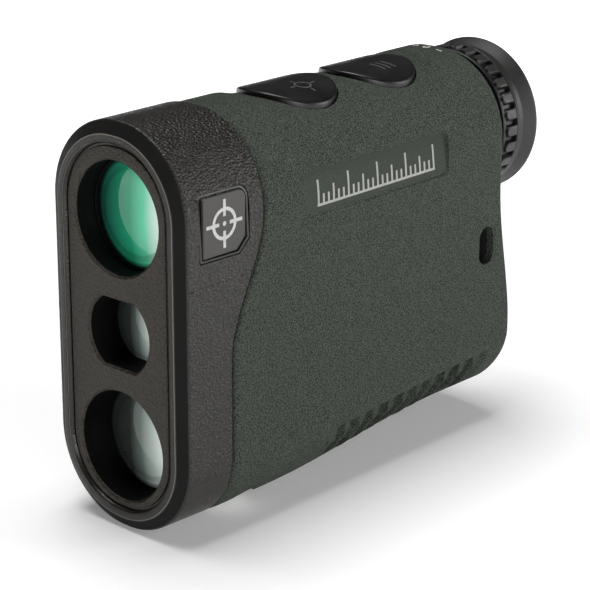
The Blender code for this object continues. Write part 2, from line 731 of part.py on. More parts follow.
def eyepiece():
    flange = 14.2
    housing = [(11.9, 78.5), (11.9, 88.9), (flange, 88.9), (flange, 90.7), (12.6, 90.7), (12.6, 97.0)]
    housing += [(11.15, 97.0), (11.15, 78.5)]
    turned("eyepiece_housing", "chassis", EYE_AXIS, housing, FINE)
    barrel = [(10.8, 79.5), (10.8, 96.2), (9.9, 96.2), (9.9, 80.8), (8.8, 80.8), (8.8, 79.5)]
    turned("ocular_barrel", "dark_metal", EYE_AXIS, barrel)
    turned("field_lens", "glass", EYE_AXIS, lens_profile(9.5, 81.5, 83.6, 0.3, 0.8), ROUND)
    spacer = [(9.5, 83.9), (9.5, 90.0), (8.9, 90.0), (8.9, 83.9)]
    turned("lens_spacer", "dark_metal", EYE_AXIS, spacer, COARSE)
    turned("eye_lens", "coated_glass", EYE_AXIS, lens_profile(9.5, 90.4, 93.0, 0.0, 1.0), ROUND)
    retainer = [(9.5, 94.2), (9.5, 95.4), (8.7, 95.4), (8.7, 94.2)]
    turned("ocular_retainer", "dark_metal", EYE_AXIS, retainer, COARSE)


def rib(turn):
    """How far the dioptre ring's rim is cut back at a turn: raised ribs with sloping sides."""
    phase = (turn * RING_TEETH / (2 * math.pi)) % 1.0
    return RING_TOOTH if 0.45 < phase < 0.95 else 0.0


def dioptre_ring():
    sleeve = 13.7
    ring = [(RING_RADIUS, RING_START + 1.0), (RING_RADIUS, RING_END), (sleeve, RING_END), (sleeve, 98.6)]
    ring += [(13.0, 98.6), (13.0, RING_START), (14.3, RING_START)]
    turned("dioptre_ring", "bezel", EYE_AXIS, ring, RING_TEETH * RIB_STEPS, (RING_RADIUS, rib))


def eyecup():
    cup = [(14.9, CUP_START), (14.7, 96.4), (15.0, 98.4), (CUP_RADIUS, 100.2), (15.2, LENGTH)]
    cup += [(14.0, LENGTH), (12.2, 99.6), (11.6, 98.9), (14.0, 98.9), (14.0, CUP_START)]
    turned("eyecup", "eyecup", EYE_AXIS, cup, FINE)


# Electronics and power


def electronics():
    box("main_board", "board", (-12.0, 12.0), (41.0, 78.0), (1.5, 2.7))
    box("processor_chip", "chip", (-4.5, 4.5), (50.0, 59.0), (3.0, 4.2))
    box("shield_can", "metal", (-7.0, 7.0), (62.0, 74.0), (3.0, 5.6))
    capacitor = [(0, 42.0), (2.5, 42.0), (2.5, 48.0), (0, 48.0)]
    turned("laser_capacitor", "chip", 5.6, capacitor, COARSE)
    box("flex_cable", "flex", (-9.6, -9.3), (56.0, 66.0), (3.1, 28.9))


def battery_bay():
    start = BATTERY_START
    end = start + BATTERY_LENGTH
    tip = start - 0.6
    cell = [(0, tip), (2.6, tip), (2.6, start), (BATTERY_RADIUS, start), (BATTERY_RADIUS, end), (0, end)]
    turned("battery", "battery", BATTERY_AXIS, cell)
    floor = start - 3.0
    mouth = start + 32.0
    tube = [(0, floor), (BAY_RADIUS, floor), (BAY_RADIUS, mouth), (BAY_BORE, mouth)]
    tube += [(BAY_BORE, floor + 1.2), (0, floor + 1.2)]
    turned("battery_tube", "chassis", BATTERY_AXIS, tube)
    contact = [(0, start - 1.5), (5.0, start - 1.5), (5.0, start - 1.0), (0, start - 1.0)]
    turned("positive_contact", "brass", BATTERY_AXIS, contact, COARSE)
    battery_spring(end + GAP, start + 28.9)
    battery_cap(start + 29.2)


def battery_cap(nose):
    """A screw-in cap from its nose inside the bay to its knurled flange, with a coin slot and a seal."""
    neck = 7.85
    groove = 7.2
    flange = nose + 3.3
    face = flange + 3.4
    cap = [(0, nose), (neck, nose), (neck, nose + 0.8), (groove, nose + 0.8), (groove, nose + 2.2)]
    cap += [(neck, nose + 2.2), (neck, flange), (CAP_RADIUS, flange), (CAP_RADIUS, face - 0.6)]
    cap += [(CAP_RADIUS - 0.6, face), (0, face)]
    lid = turned("battery_cap", "bezel", BATTERY_AXIS, cap, FINE)
    levels = (BATTERY_AXIS - 0.9, BATTERY_AXIS + 0.9)
    combine(lid, box("cut_coin_slot", None, (-6.0, 6.0), (face - 1.2, face + 1.0), levels))
    seal = [(8.02, nose + 1.1), (8.02, nose + 1.9), (7.5, nose + 1.9), (7.5, nose + 1.1)]
    turned("battery_cap_oring", "seal", BATTERY_AXIS, seal)


def battery_spring(low, high):
    """A short coil that narrows towards the cap."""
    turns = 2.5
    steps = 30
    wire = 0.25
    curve = bpy.data.curves.new("battery_spring", "CURVE")
    curve.dimensions = "3D"
    curve.bevel_depth = wire * MM
    curve.bevel_resolution = 1
    curve.use_fill_caps = True
    spline = curve.splines.new("POLY")
    spline.points.add(steps)
    for i in range(steps + 1):
        part = i / steps
        angle = 2 * math.pi * turns * part
        reach = 5.0 - 2.0 * part
        along = wire + (high - low - 2 * wire) * part
        spline.points[i].co = (reach * math.cos(angle) * MM, along * MM, reach * math.sin(angle) * MM, 1)
    curve.materials.append(material("metal"))
    obj = bpy.data.objects.new("battery_spring", curve)
    obj.location = world(0, low, BATTERY_AXIS)
    bpy.context.scene.collection.objects.link(obj)


def main():
    clear_scene()
    front_bezel()
    badges()
    front_plate()
    bezel_gasket()
    chassis_half(1)
    chassis_half(-1)
    rubber_armour()
    label_plate()
    lanyard_sleeve()
    housing_screws()
    controls()
    objective()
    emitter()
    receiver()
    prisms()
    eyepiece()
    dioptre_ring()
    eyecup()
    electronics()
    battery_bay()


main()
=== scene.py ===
"""Looks for the handheld laser rangefinder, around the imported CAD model: fine meshes, materials,
light and camera.

Lengths are in millimetres until they reach a mesh. A point is (across, station, level): across is
+X, station is the distance behind the front rim, and level is the height above the middle of the
body, as in the CAD model."""

from math import acos, asin, copysign, cos, degrees, hypot, pi, radians, sin, sqrt, tan

import bmesh
import bpy
from mathutils import Matrix, Vector


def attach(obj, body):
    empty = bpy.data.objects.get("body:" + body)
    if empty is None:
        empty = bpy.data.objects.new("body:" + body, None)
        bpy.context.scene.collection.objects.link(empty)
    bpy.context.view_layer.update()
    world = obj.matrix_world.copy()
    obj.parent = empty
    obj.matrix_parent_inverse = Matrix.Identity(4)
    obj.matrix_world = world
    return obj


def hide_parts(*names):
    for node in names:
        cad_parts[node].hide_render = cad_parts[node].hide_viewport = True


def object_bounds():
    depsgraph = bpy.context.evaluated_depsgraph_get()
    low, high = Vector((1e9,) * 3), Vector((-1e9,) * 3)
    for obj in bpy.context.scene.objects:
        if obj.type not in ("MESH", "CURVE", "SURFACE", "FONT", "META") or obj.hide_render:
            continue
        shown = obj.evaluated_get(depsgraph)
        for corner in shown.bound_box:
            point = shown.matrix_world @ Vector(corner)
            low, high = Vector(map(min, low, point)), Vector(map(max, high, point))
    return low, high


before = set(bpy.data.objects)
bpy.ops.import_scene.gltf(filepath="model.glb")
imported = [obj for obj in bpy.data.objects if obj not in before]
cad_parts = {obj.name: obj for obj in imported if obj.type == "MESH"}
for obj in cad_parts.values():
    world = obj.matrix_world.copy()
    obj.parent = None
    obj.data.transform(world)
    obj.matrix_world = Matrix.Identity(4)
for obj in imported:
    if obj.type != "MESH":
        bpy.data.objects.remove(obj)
CAD_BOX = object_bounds()
SCENE = bpy.context.scene

MM = 0.001
LOW, HIGH = CAD_BOX
LENGTH = (HIGH[1] - LOW[1]) / MM
HALF_HEIGHT = 37.5

# Outlines of the body, each as (half width, half height, corner radius)
ARMOUR = (17.4, 36.9, 16.2)
BEZEL_EDGE = (16.5, 37.5, 16.0)
BEZEL_BACK = (17.1, 37.35, 16.0)
PLATE = (12.15, 33.15, 11.65)
LEDGE = (11.9, 32.9, 11.4)
MOUTH_IN = 12.5
RIM_IN = 13.0
RIM_OUT = 14.2

ARMOUR_WALL = 2.0
CHAMFER_END = 1.5
BEZEL_START = CHAMFER_END + 0.25
PLATE_FRONT = 0.5
PLATE_BACK = 2.2
REAR_ROUND = 1.6
REAR_HIGH = 87.75
REAR_LOW = 91.75

# The underside: it drops behind the bezel's edge and rises again towards the rear
DROP = 0.5
DROP_SPAN = (10.5, 14.5)
RISE = 3.55
RISE_SPAN = (26.0, 80.0)
BEND_LEVELS = (-8.0, -32.0)

OBJECTIVE_AXIS = 20.4
EMITTER_AXIS = -0.65
RECEIVER_AXIS = -21.7
EYE_AXIS = 20.9
BATTERY_AXIS = -19.5

LENS_BORE = 10.23
EMITTER_BORE = 7.43
EMITTER_FLAT = 6.23
EMITTER_FLAT_END = 6.45
LENS_RADIUS = 9.95
EMITTER_RADIUS = 7.2
EYE_RADIUS = 9.5

BUTTONS = {"measure": 43.7, "menu": 66.2}
BUTTON_RADIUS = 9.2
BUTTON_HOLE = 9.5
BUTTON_SHOULDER = 0.45
BUTTON_SKIRT = 1.5
BUTTON_UNDER = 1.55
BUTTON_FOOT = 31.9
BUTTON_DISH = 0.1
BUTTON_DISH_RADIUS = 7.0
STEM_RADIUS = 3.0
DISH_DEPTH = 0.9
DISH_WIDTH = 5.0
SLOT_STATION = 83.0
SLOT_LEVEL = 0.1
SLOT_SIZE = (4.4, 7.8)

PANEL = (30.3, 70.0, 17.4, 25.6)
PANEL_CORNER = 1.2
BADGE = (4.2, 16.0, 14.8, 26.9)
BADGE_CUT = 2.4
BADGE_CORNER = 2.0
BADGE_FACE = 16.75
BADGE_MIDDLE = (10.0, 21.0)
SCALE_BASE = 19.2
SCALE_START = 33.4
SCALE_STEP = 1.36
SCALE_TICKS = 25
SCALE_ENDS = 99.5
SCALE_WIDTH = 0.45
SEAM_LEVEL = 10.6
SEAM_HALF = 0.13
LABEL_STATION = 20.5
LABEL_SIZE = (12.4, 6.0)
CAP_FACE = 93.1
CAP_SLOT = (1.8, 12.5)
CAP_GROOVES = 36
DIOPTRE_STATION = 84.6
RIBS = 28
RIB_SPAN = (91.3, 94.8)
RIB_HEIGHT = 0.95

# Grip hollows along both lower edges. A row is (level below the first one, half height, shift in
# pitches).
GRIP_PITCH = 4.3
GRIP_SPAN = (36.0, 85.5)
GRIP_DEPTH = 1.5
GRIP_ROWS = ((-0.5, 1.3, 0.0), (1.2, 1.3, 0.2), (3.3, 1.5, 0.1), (5.6, 1.6, 0.25))
GRIP_LEVEL = -27.0
GRIP_SLOPE = 0.072
GRIP_MIDDLE = 42.0
GRIP_WALL = 0.92

FINE = 128
SHARP = 32.0
TINY = 1e-6


# ---- shape helpers


def smooth(value):
    """0 below 0, 1 above 1, and an even S between them."""
    held = min(max(value, 0.0), 1.0)
    return held * held * (3.0 - 2.0 * held)


def parting(level):
    return 11.4 + 8.0 * smooth((level + 4.0) / 25.0)


def rear(level):
    return REAR_HIGH + (REAR_LOW - REAR_HIGH) * smooth((12.0 - level) / 31.0)


def underside(station):
    """How far the underside lies above its level at the front."""
    drop = DROP * smooth((station - DROP_SPAN[0]) / (DROP_SPAN[1] - DROP_SPAN[0]))
    return RISE * smooth((station - RISE_SPAN[0]) / (RISE_SPAN[1] - RISE_SPAN[0])) - drop


def bent(station, level):
    high, low = BEND_LEVELS
    return level + underside(station) * smooth((high - level) / (high - low))


def inset(outline, amount):
    return tuple(size - amount for size in outline)


def half_width(level, amount=0.0, outline=ARMOUR):
    width, height, radius = inset(outline, amount)
    over = min(max(abs(level) - (height - radius), 0.0), radius)
    return width - radius + sqrt(radius * radius - over * over)


def top_level(across, amount=0.0):
    """How high the armour's outline, set in by amount, reaches at a place across."""
    width, height, radius = inset(ARMOUR, amount)
    over = min(max(abs(across) - (width - radius), 0.0), radius)
    return height - radius + sqrt(radius * radius - over * over)


def trace(outline, t):
    """A point on the right half of an outline and its outward normal. t runs 0 to 5 from the top to
    the bottom: flat, corner, side, corner, flat."""
    width, height, radius = outline
    flat = width - radius
    straight = height - radius
    part = min(int(t), 4)
    share = t - part
    if part == 0:
        return flat * share, height, 0.0, 1.0
    sine, cosine = sin(share * pi / 2), cos(share * pi / 2)
    if part == 1:
        return flat + radius * sine, straight + radius * cosine, sine, cosine
    if part == 2:
        return width, straight * (1 - 2 * share), 1.0, 0.0
    if part == 3:
        return flat + radius * cosine, -straight - radius * sine, cosine, -sine
    return flat * (1 - share), -height, 0.0, -1.0


def level_to_t(outline, level):
    """The t of trace() that gives a level above the lower corner."""
    width, height, radius = outline
    straight = height - radius
    if level > straight:
        return 1 + acos(min((level - straight) / radius, 1.0)) / (pi / 2)
    return 2 + (1 - level / straight) / 2


def spread(first, last, count):
    return [first + (last - first) * i / count for i in range(count)]


def box_distance(x, y, box, corner=0.0):
    """How far a point lies outside a box with round corners; less than 0 inside."""
    x0, x1, y0, y1 = box
    dx = abs(x - (x0 + x1) / 2) - (x1 - x0) / 2 + corner
    dy = abs(y - (y0 + y1) / 2) - (y1 - y0) / 2 + corner
    return hypot(max(dx, 0.0), max(dy, 0.0)) + min(max(dx, dy), 0.0) - corner


def to_world(point):
    across, station, level = point
    return across * MM, (station - LENGTH / 2) * MM, (level + HALF_HEIGHT) * MM


def new_verts(bm, points):
    return [bm.verts.new(to_world(point)) for point in points]


def mesh_object(name, bm, look=None, sharp=SHARP):
    bmesh.ops.recalc_face_normals(bm, faces=bm.faces)
    mesh = bpy.data.meshes.new(name)
    bm.to_mesh(mesh)
    bm.free()
    mesh.shade_smooth()
    mesh.set_sharp_from_angle(angle=radians(sharp))
    obj = bpy.data.objects.new(name, mesh)
    SCENE.collection.objects.link(obj)
    if look:
        mesh.materials.append(MATERIALS[look])
    return obj


def add_faces(bm, loops):
    """Faces between each loop of vertices and the next."""
    for one, two in zip(loops, loops[1:]):
        for i in range(len(one)):
            j = (i + 1) % len(one)
            corners = list(dict.fromkeys((one[i], one[j], two[j], two[i])))
            if len(corners) > 2:
                bm.faces.new(corners)


def ring_of(bm, outline, steps, station, press=None):
    """One ring of vertices round an outline. press(across, station, level) sets a point in along
    its normal."""
    right = []
    left = []
    for t in steps:
        across, level, out, up = trace(outline, t)
        where = station(level) if callable(station) else station
        high = bent(where, level)
        for side, points in ((1, right), (-1, left)):
            depth = press(side * across, where, high) if press else 0.0
            spot = (side * (across - out * depth), where, high - up * depth)
            points += new_verts(bm, [spot]) if side > 0 or across > TINY else right[-1:]
    return right, left


def cap(bm, right, left):
    for i in range(len(right) - 1):
        corners = list(dict.fromkeys((right[i], right[i + 1], left[i + 1], left[i])))
        bm.faces.new(corners)


def loft(name, rings, steps, look=None, loop=False):
    """A closed solid through rings of (outline, station) or (outline, station, press), with caps,
    or joined end to end as a loop."""
    bm = bmesh.new()
    made = [ring_of(bm, outline, steps, *rest) for outline, *rest in rings]
    loops = [right + left[-2:0:-1] for right, left in made]
    if loop:
        loops.append(loops[0])
    add_faces(bm, loops)
    if not loop:
        cap(bm, *made[0])
        cap(bm, *made[-1])
    return mesh_object(name, bm, look)


def turned(name, look, level, profile, segments=FINE, reach=None, loop=True):
    """A solid turned about an axis along Y, from (radius, station) points.
    reach(turn, radius, station) bends it."""
    bm = bmesh.new()
    loops = []
    for radius, station in profile:
        if radius == 0:
            loops.append(new_verts(bm, [(0, station, level)]) * segments)
            continue
        ring = []
        for turn in even_turns(segments):
            r = reach(turn, radius, station) if reach else radius
            ring.append((r * cos(turn), station, level + r * sin(turn)))
        loops.append(new_verts(bm, ring))
    add_faces(bm, loops + loops[:1] if loop else loops)
    return mesh_object(name, bm, look)


def even_turns(count):
    return [2 * pi * i / count for i in range(count)]


def arc(centre, radii, first, last, steps):
    turns = [radians(first + (last - first) * step / steps) for step in range(steps + 1)]
    return [(centre[0] + radii[0] * cos(t), centre[1] + radii[1] * sin(t)) for t in turns]


def circle(centre, radii, count):
    return arc(centre, radii, 0, 360 - 360 / count, count - 1)


def rounded_profile(points, radius, steps):
    """A closed outline with each corner rounded, where its sides leave room."""
    made = []
    count = len(points)
    for i in range(count):
        before, here, after = (Vector(points[j % count]) for j in (i - 1, i, i + 1))
        a = before - here
        b = after - here
        angle = a.angle(b)
        if angle > radians(165):
            made.append(tuple(here))
            continue
        cut = min(radius / tan(angle / 2), a.length * 0.45, b.length * 0.45)
        start = here + a.normalized() * cut
        end = here + b.normalized() * cut
        for step in range(steps + 1):
            s = step / steps
            made.append(tuple(start * (1 - s) ** 2 + here * (2 * s * (1 - s)) + end * s**2))
    return made


def join_rims(bm, rims, loop):
    """Faces along rims of points, with the ends filled or joined as a loop."""
    loops = [new_verts(bm, rim) for rim in rims]
    if loop:
        loops.append(loops[0])
    else:
        bm.faces.new(loops[0])
        bm.faces.new(loops[-1])
    add_faces(bm, loops)


def prism(name, rims, look=None, loop=False):
    bm = bmesh.new()
    join_rims(bm, rims, loop)
    return mesh_object(name, bm, look)


def extrude_x(outline, low, high):
    return prism("tool", [[(x, a, b) for a, b in outline] for x in (low, high)])


def oblong(centre, size, steps=20):
    radius = size[0] / 2
    rise = size[1] / 2 - radius
    top = arc((centre[0], centre[1] + rise), (radius, radius), 0, 180, steps)
    return top + arc((centre[0], centre[1] - rise), (radius, radius), 180, 360, steps)


def cut_with(target, tools):
    """Cuts the tools out of a piece for good, and removes them."""
    for tool in tools:
        modifier = target.modifiers.new("cut", "BOOLEAN")
        modifier.operation = "DIFFERENCE"
        modifier.solver = "EXACT"
        modifier.object = tool
    graph = bpy.context.evaluated_depsgraph_get()
    mesh = bpy.data.meshes.new_from_object(target.evaluated_get(graph))
    target.modifiers.clear()
    target.data = mesh
    mesh.set_sharp_from_angle(angle=radians(SHARP))
    for tool in tools:
        bpy.data.objects.remove(tool, do_unlink=True)


def stroke(name, look, paths, width, place, lift, depth, body="root", closed=False):
    """Raised or printed lines on a surface. place(u, v) gives a point and its outward normal."""
    bm = bmesh.new()
    for path in paths:
        points = [Vector(p) for p in path]
        count = len(points)
        rims = []
        for i, here in enumerate(points):
            before = points[i - 1] if i or closed else here
            after = points[(i + 1) % count] if i + 1 < count or closed else here
            along = (after - before).normalized()
            across = Vector((-along.y, along.x)) * width / 2
            ring = []
            for side, height in ((1, lift), (-1, lift), (-1, -depth), (1, -depth)):
                spot, normal = place(*(here + across * side))
                ring.append(Vector(spot) + Vector(normal) * height)
            rims.append(ring)
        join_rims(bm, rims, closed)
    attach(mesh_object(name, bm, look), body)


def line(start, end, steps=1):
    a, b = Vector(start), Vector(end)
    return [tuple(a.lerp(b, i / steps)) for i in range(steps + 1)]


def cross(centre, near, far, steps=1):
    """Four lines that point away from a centre."""
    ways = [Vector((cos(t), sin(t))) for t in even_turns(4)]
    middle = Vector(centre)
    return [line(middle + way * near, middle + way * far, steps) for way in ways]


# ---- materials


class Shader:
    """A Principled material with small helpers for its procedural nodes."""

    def __init__(self, name, base, roughness, **fixed):
        self.material = bpy.data.materials.new(name)
        self.material.use_nodes = True
        self.nodes = self.material.node_tree.nodes
        self.links = self.material.node_tree.links
        self.main = self.nodes["Principled BSDF"]
        self.main.inputs["Base Color"].default_value = (*base, 1)
        self.main.inputs["Roughness"].default_value = roughness
        for key, value in fixed.items():
            self.main.inputs[key.replace("_", " ")].default_value = value
        self.place = self.nodes.new("ShaderNodeTexCoord").outputs["Object"]
        self.base = base

    def node(self, kind, output, linked, settings=(), **fixed):
        """A new node with its settings and inputs set or linked, by one of its outputs."""
        made = self.nodes.new("ShaderNode" + kind)
        for key, value in settings:
            setattr(made, key, value)
        for key, value in fixed.items():
            made.inputs[key].default_value = value
        for key, socket in linked.items():
            self.links.new(socket, made.inputs[key])
        return made.outputs[output]

    def stretched(self, scale):
        return self.node("Mapping", "Vector", {"Vector": self.place}, Scale=scale)

    def noise(self, scale, detail=2.0, roughness=0.5, place=None, distortion=0.0):
        values = {"Detail": detail, "Roughness": roughness, "Distortion": distortion}
        return self.node("TexNoise", "Fac", {"Vector": place or self.place}, Scale=scale, **values)

    def cells(self, scale, place=None, feature="F1"):
        linked = {"Vector": place or self.place}
        return self.node("TexVoronoi", "Distance", linked, [("feature", feature)], Scale=scale)

    def remap(self, value, low, high, to_low, to_high):
        limits = {"From Min": low, "From Max": high, "To Min": to_low, "To Max": to_high}
        return self.node("MapRange", "Result", {"Value": value}, **limits)

    def math(self, kind, a, b=0.0):
        made = self.nodes.new("ShaderNodeMath")
        made.operation = kind
        for value, socket in ((a, made.inputs[0]), (b, made.inputs[1])):
            if isinstance(value, (int, float)):
                socket.default_value = value
            else:
                self.links.new(value, socket)
        return made.outputs["Value"]

    def plus(self, a, b):
        return self.math("ADD", a, b)

    def minus(self, a, b):
        return self.math("SUBTRACT", a, b)

    def times(self, a, b):
        return self.math("MULTIPLY", a, b)

    def colours(self, value, stops):
        made = self.nodes.new("ShaderNodeValToRGB")
        ramp = made.color_ramp
        while len(ramp.elements) < len(stops):
            ramp.elements.new(0.5)
        for element, (where, colour) in zip(ramp.elements, stops):
            element.position = where
            element.color = (*colour, 1)
        self.links.new(value, made.inputs["Fac"])
        return made.outputs["Color"]

    def shades(self, value, dark, light):
        """The base colour, from dark to light times itself, as value goes from 0.3 to 0.7."""
        low = tuple(c * dark for c in self.base)
        high = tuple(c * light for c in self.base)
        self.colour(self.colours(value, [(0.3, low), (0.7, high)]))

    def colour(self, socket):
        self.links.new(socket, self.main.inputs["Base Color"])

    def rough(self, value, low, high):
        """Roughness from low to high, as value goes from 0.3 to 0.7."""
        result = self.remap(value, 0.3, 0.7, low, high)
        self.links.new(result, self.main.inputs["Roughness"])

    def bump(self, height, strength, distance):
        """Adds to the bumps that are there already."""
        normal = self.main.inputs["Normal"]
        linked = {"Height": height}
        if normal.is_linked:
            linked["Normal"] = normal.links[0].from_socket
        made = self.node("Bump", "Normal", linked, Strength=strength, Distance=distance)
        self.links.new(made, normal)

    def axis(self, name):
        return self.node("SeparateXYZ", name, {"Vector": self.place})

    def level_of(self):
        """The level of a point, in millimetres above the middle of the body."""
        return self.minus(self.times(self.axis("Z"), 1 / MM), HALF_HEIGHT)

    def station_of(self):
        return self.plus(self.times(self.axis("Y"), 1 / MM), LENGTH / 2)

    def across_of(self):
        return self.times(self.axis("X"), 1 / MM)

    def long_side(self, a, b):
        squares = self.plus(self.times(a, a), self.times(b, b))
        return self.math("SQRT", squares)

    def radius_of(self, level):
        """The distance of a point from an axis along Y at a level, in millimetres."""
        return self.long_side(self.across_of(), self.minus(self.level_of(), level))

    def distance_out(self):
        """The distance of a point of the floor from the middle, in metres."""
        return self.long_side(self.axis("X"), self.axis("Y"))

    def inside(self, axis, low, high):
        """1 between two stations or levels and 0 outside them, with a soft edge."""
        value = self.station_of() if axis == "Y" else self.level_of()
        rise = self.remap(value, low - 0.15, low + 0.15, 0.0, 1.0)
        fall = self.remap(value, high - 0.15, high + 0.15, 1.0, 0.0)
        return self.times(rise, fall)


def armour_material():
    m = Shader("armour_rubber", (0.045, 0.0525, 0.043), 0.82, Specular_IOR_Level=0.15)
    grain = m.noise(4300, 1.5, 0.6)
    broad = m.noise(700, 3, 0.6)
    both = m.plus(m.times(grain, 0.95), m.times(broad, 0.05))
    along, high = m.inside("Y", PANEL[0], PANEL[1]), m.inside("Z", PANEL[2] + 0.6, PANEL[3])
    smooth_part = m.times(along, high)
    rough_part = m.minus(1.0, m.times(smooth_part, 0.85))
    centred = m.minus(both, 0.5)
    strong = m.times(centred, m.times(rough_part, 2.1))
    m.shades(m.plus(strong, 0.5), 0.3, 1.75)
    m.rough(grain, 0.75, 0.9)
    m.bump(m.times(grain, rough_part), 0.9, 0.00018)
    m.bump(m.times(m.cells(2700), rough_part), 0.3, 0.00008)
    return m.material


def bezel_material():
    m = Shader("bezel_polymer", (0.0085, 0.0074, 0.0056), 0.38, Specular_IOR_Level=0.44)
    wrinkle = m.noise(3000, 2, 0.6, m.stretched((1, 0.6, 1)), 0.4)
    creases = m.noise(1300, 3, 0.6, m.stretched((1, 0.45, 1)), 0.8)
    pits = m.cells(2300, m.stretched((1, 0.7, 1)))
    behind = m.remap(m.station_of(), CHAMFER_END - 0.2, CHAMFER_END + 0.3, 0.25, 1.0)
    fade = m.times(m.remap(m.level_of(), -26.0, -25.0, 0.25, 1.0), behind)
    m.shades(wrinkle, 0.2, 2.2)
    m.rough(creases, 0.28, 0.44)
    m.bump(m.times(wrinkle, fade), 1.0, 0.00016)
    m.bump(m.times(creases, fade), 0.25, 0.00014)
    m.bump(m.times(pits, fade), 1.0, 0.00018)
    return m.material


def ring_material():
    """The dioptre ring's polymer, with painted shade: nearly black in the hollows between its ribs.
    """
    m = Shader("ring_polymer", (0.018, 0.017, 0.016), 0.42, Specular_IOR_Level=0.5)
    away = m.radius_of(EYE_AXIS)
    grain = m.noise(900, 3, 0.6)
    # Painted shade: nearly black nearer than 14.6 mm to the axis, the plain colour from 14.95 mm
    # out.
    hollow_shade = m.remap(away, 14.6, 14.95, 0.0, 1.0)
    m.colour(m.colours(hollow_shade, [(0.0, (0.002, 0.002, 0.002)), (1.0, m.base)]))
    m.rough(grain, 0.38, 0.5)
    m.bump(grain, 0.15, 0.00006)
    return m.material


def plate_material():
    m = Shader("front_plate_polymer", (0.029, 0.0245, 0.0185), 0.5, Specular_IOR_Level=0.3)
    grain = m.noise(2300, 2, 0.55)
    m.shades(grain, 0.3, 1.9)
    m.rough(grain, 0.36, 0.6)
    m.bump(grain, 1.0, 0.0002)
    return m.material


def rubber_material(name, base, roughness, strength=0.12, shine=0.45):
    m = Shader(name, base, roughness, Specular_IOR_Level=shine)
    grain = m.noise(900, 3, 0.6)
    dust = m.noise(120, 4, 0.6)
    m.shades(dust, 0.8, 1.25)
    m.rough(dust, roughness - 0.06, roughness + 0.08)
    m.bump(grain, strength, 0.00006)
    return m.material


def metal_material(name, base, roughness):
    m = Shader(name, base, roughness, Metallic=1.0)
    streaks = m.noise(700, 3, 0.6, m.stretched((1, 0.08, 1)))
    m.shades(streaks, 0.85, 1.15)
    m.rough(streaks, roughness - 0.05, roughness + 0.1)
    m.bump(streaks, 0.08, 0.00003)
    return m.material


def printed_material(name, base, roughness):
    m = Shader(name, base, roughness)
    wear = m.noise(1500, 3, 0.6)
    m.shades(wear, 0.86, 1.1)
    m.rough(wear, roughness - 0.05, roughness + 0.1)
    m.bump(wear, 0.1, 0.00003)
    return m.material


def board_material():
    m = Shader("circuit_board", (0.02, 0.11, 0.045), 0.42)
    traces = m.cells(420, feature="DISTANCE_TO_EDGE")
    m.colour(m.colours(traces, [(0.02, (0.05, 0.2, 0.08)), (0.08, (0.015, 0.09, 0.035))]))
    m.bump(traces, 0.2, 0.00005)
    return m.material


def glass_material(name, level, radius, reflection_sweep):
    """Coated glass with a painted reflection: colour swept from dark on the left to bright on the
    right, in faint rings from the middle.
    """
    m = Shader(name, reflection_sweep[-1][1], 0.03, IOR=1.4, Coat_Weight=0.15, Coat_Roughness=0.02)
    # Painted glow: the glass gives off its painted reflection colour faintly, though it is no lamp.
    m.main.inputs["Emission Strength"].default_value = 0.3
    # Painted reflection: dark on the left to bright on the right, times painted rings from the
    # middle out.
    share = m.remap(m.across_of(), -radius, radius, 0.0, 1.0)
    out = m.math("DIVIDE", m.radius_of(level), radius)
    bands = m.colours(out, [(where, (shade, shade, shade)) for where, shade in REFLECTION_RINGS])
    both = {"A": m.colours(share, reflection_sweep), "B": bands}
    settings = [("data_type", "RGBA"), ("blend_type", "MULTIPLY")]
    painted_reflection = m.node("Mix", "Result", both, settings, Factor=1.0)
    m.colour(painted_reflection)
    m.links.new(painted_reflection, m.main.inputs["Emission Color"])
    smear = m.noise(40, 2, 0.5)
    m.rough(smear, 0.03, 0.05)
    return m.material


# Painted reflections for the glass: each sweep runs from dark on the left to bright on the right;
# the rings shade it in bands from the middle, darkest at the edge.
CLEAR_REFLECTION_SWEEP = [(0.0, (0.012, 0.015, 0.013)), (0.3, (0.022, 0.027, 0.024))]
CLEAR_REFLECTION_SWEEP += [(0.45, (0.11, 0.14, 0.125)), (0.6, (0.45, 0.53, 0.49)), (0.74, (0.9, 0.97, 0.93))]
GREEN_REFLECTION_SWEEP = [(0.0, (0.003, 0.022, 0.021)), (0.2, (0.012, 0.12, 0.075))]
GREEN_REFLECTION_SWEEP += [(0.45, (0.014, 0.27, 0.14)), (0.63, (0.12, 0.62, 0.38)), (0.8, (0.85, 1.0, 0.93))]
EYE_REFLECTION_SWEEP = [(0.0, (0.01, 0.015, 0.03)), (1.0, (0.03, 0.05, 0.09))]
REFLECTION_RINGS = [(0.0, 0.95), (0.5, 1.0), (0.75, 1.0), (0.78, 0.75), (0.85, 0.8), (0.9, 1.0), (0.97, 0.3)]

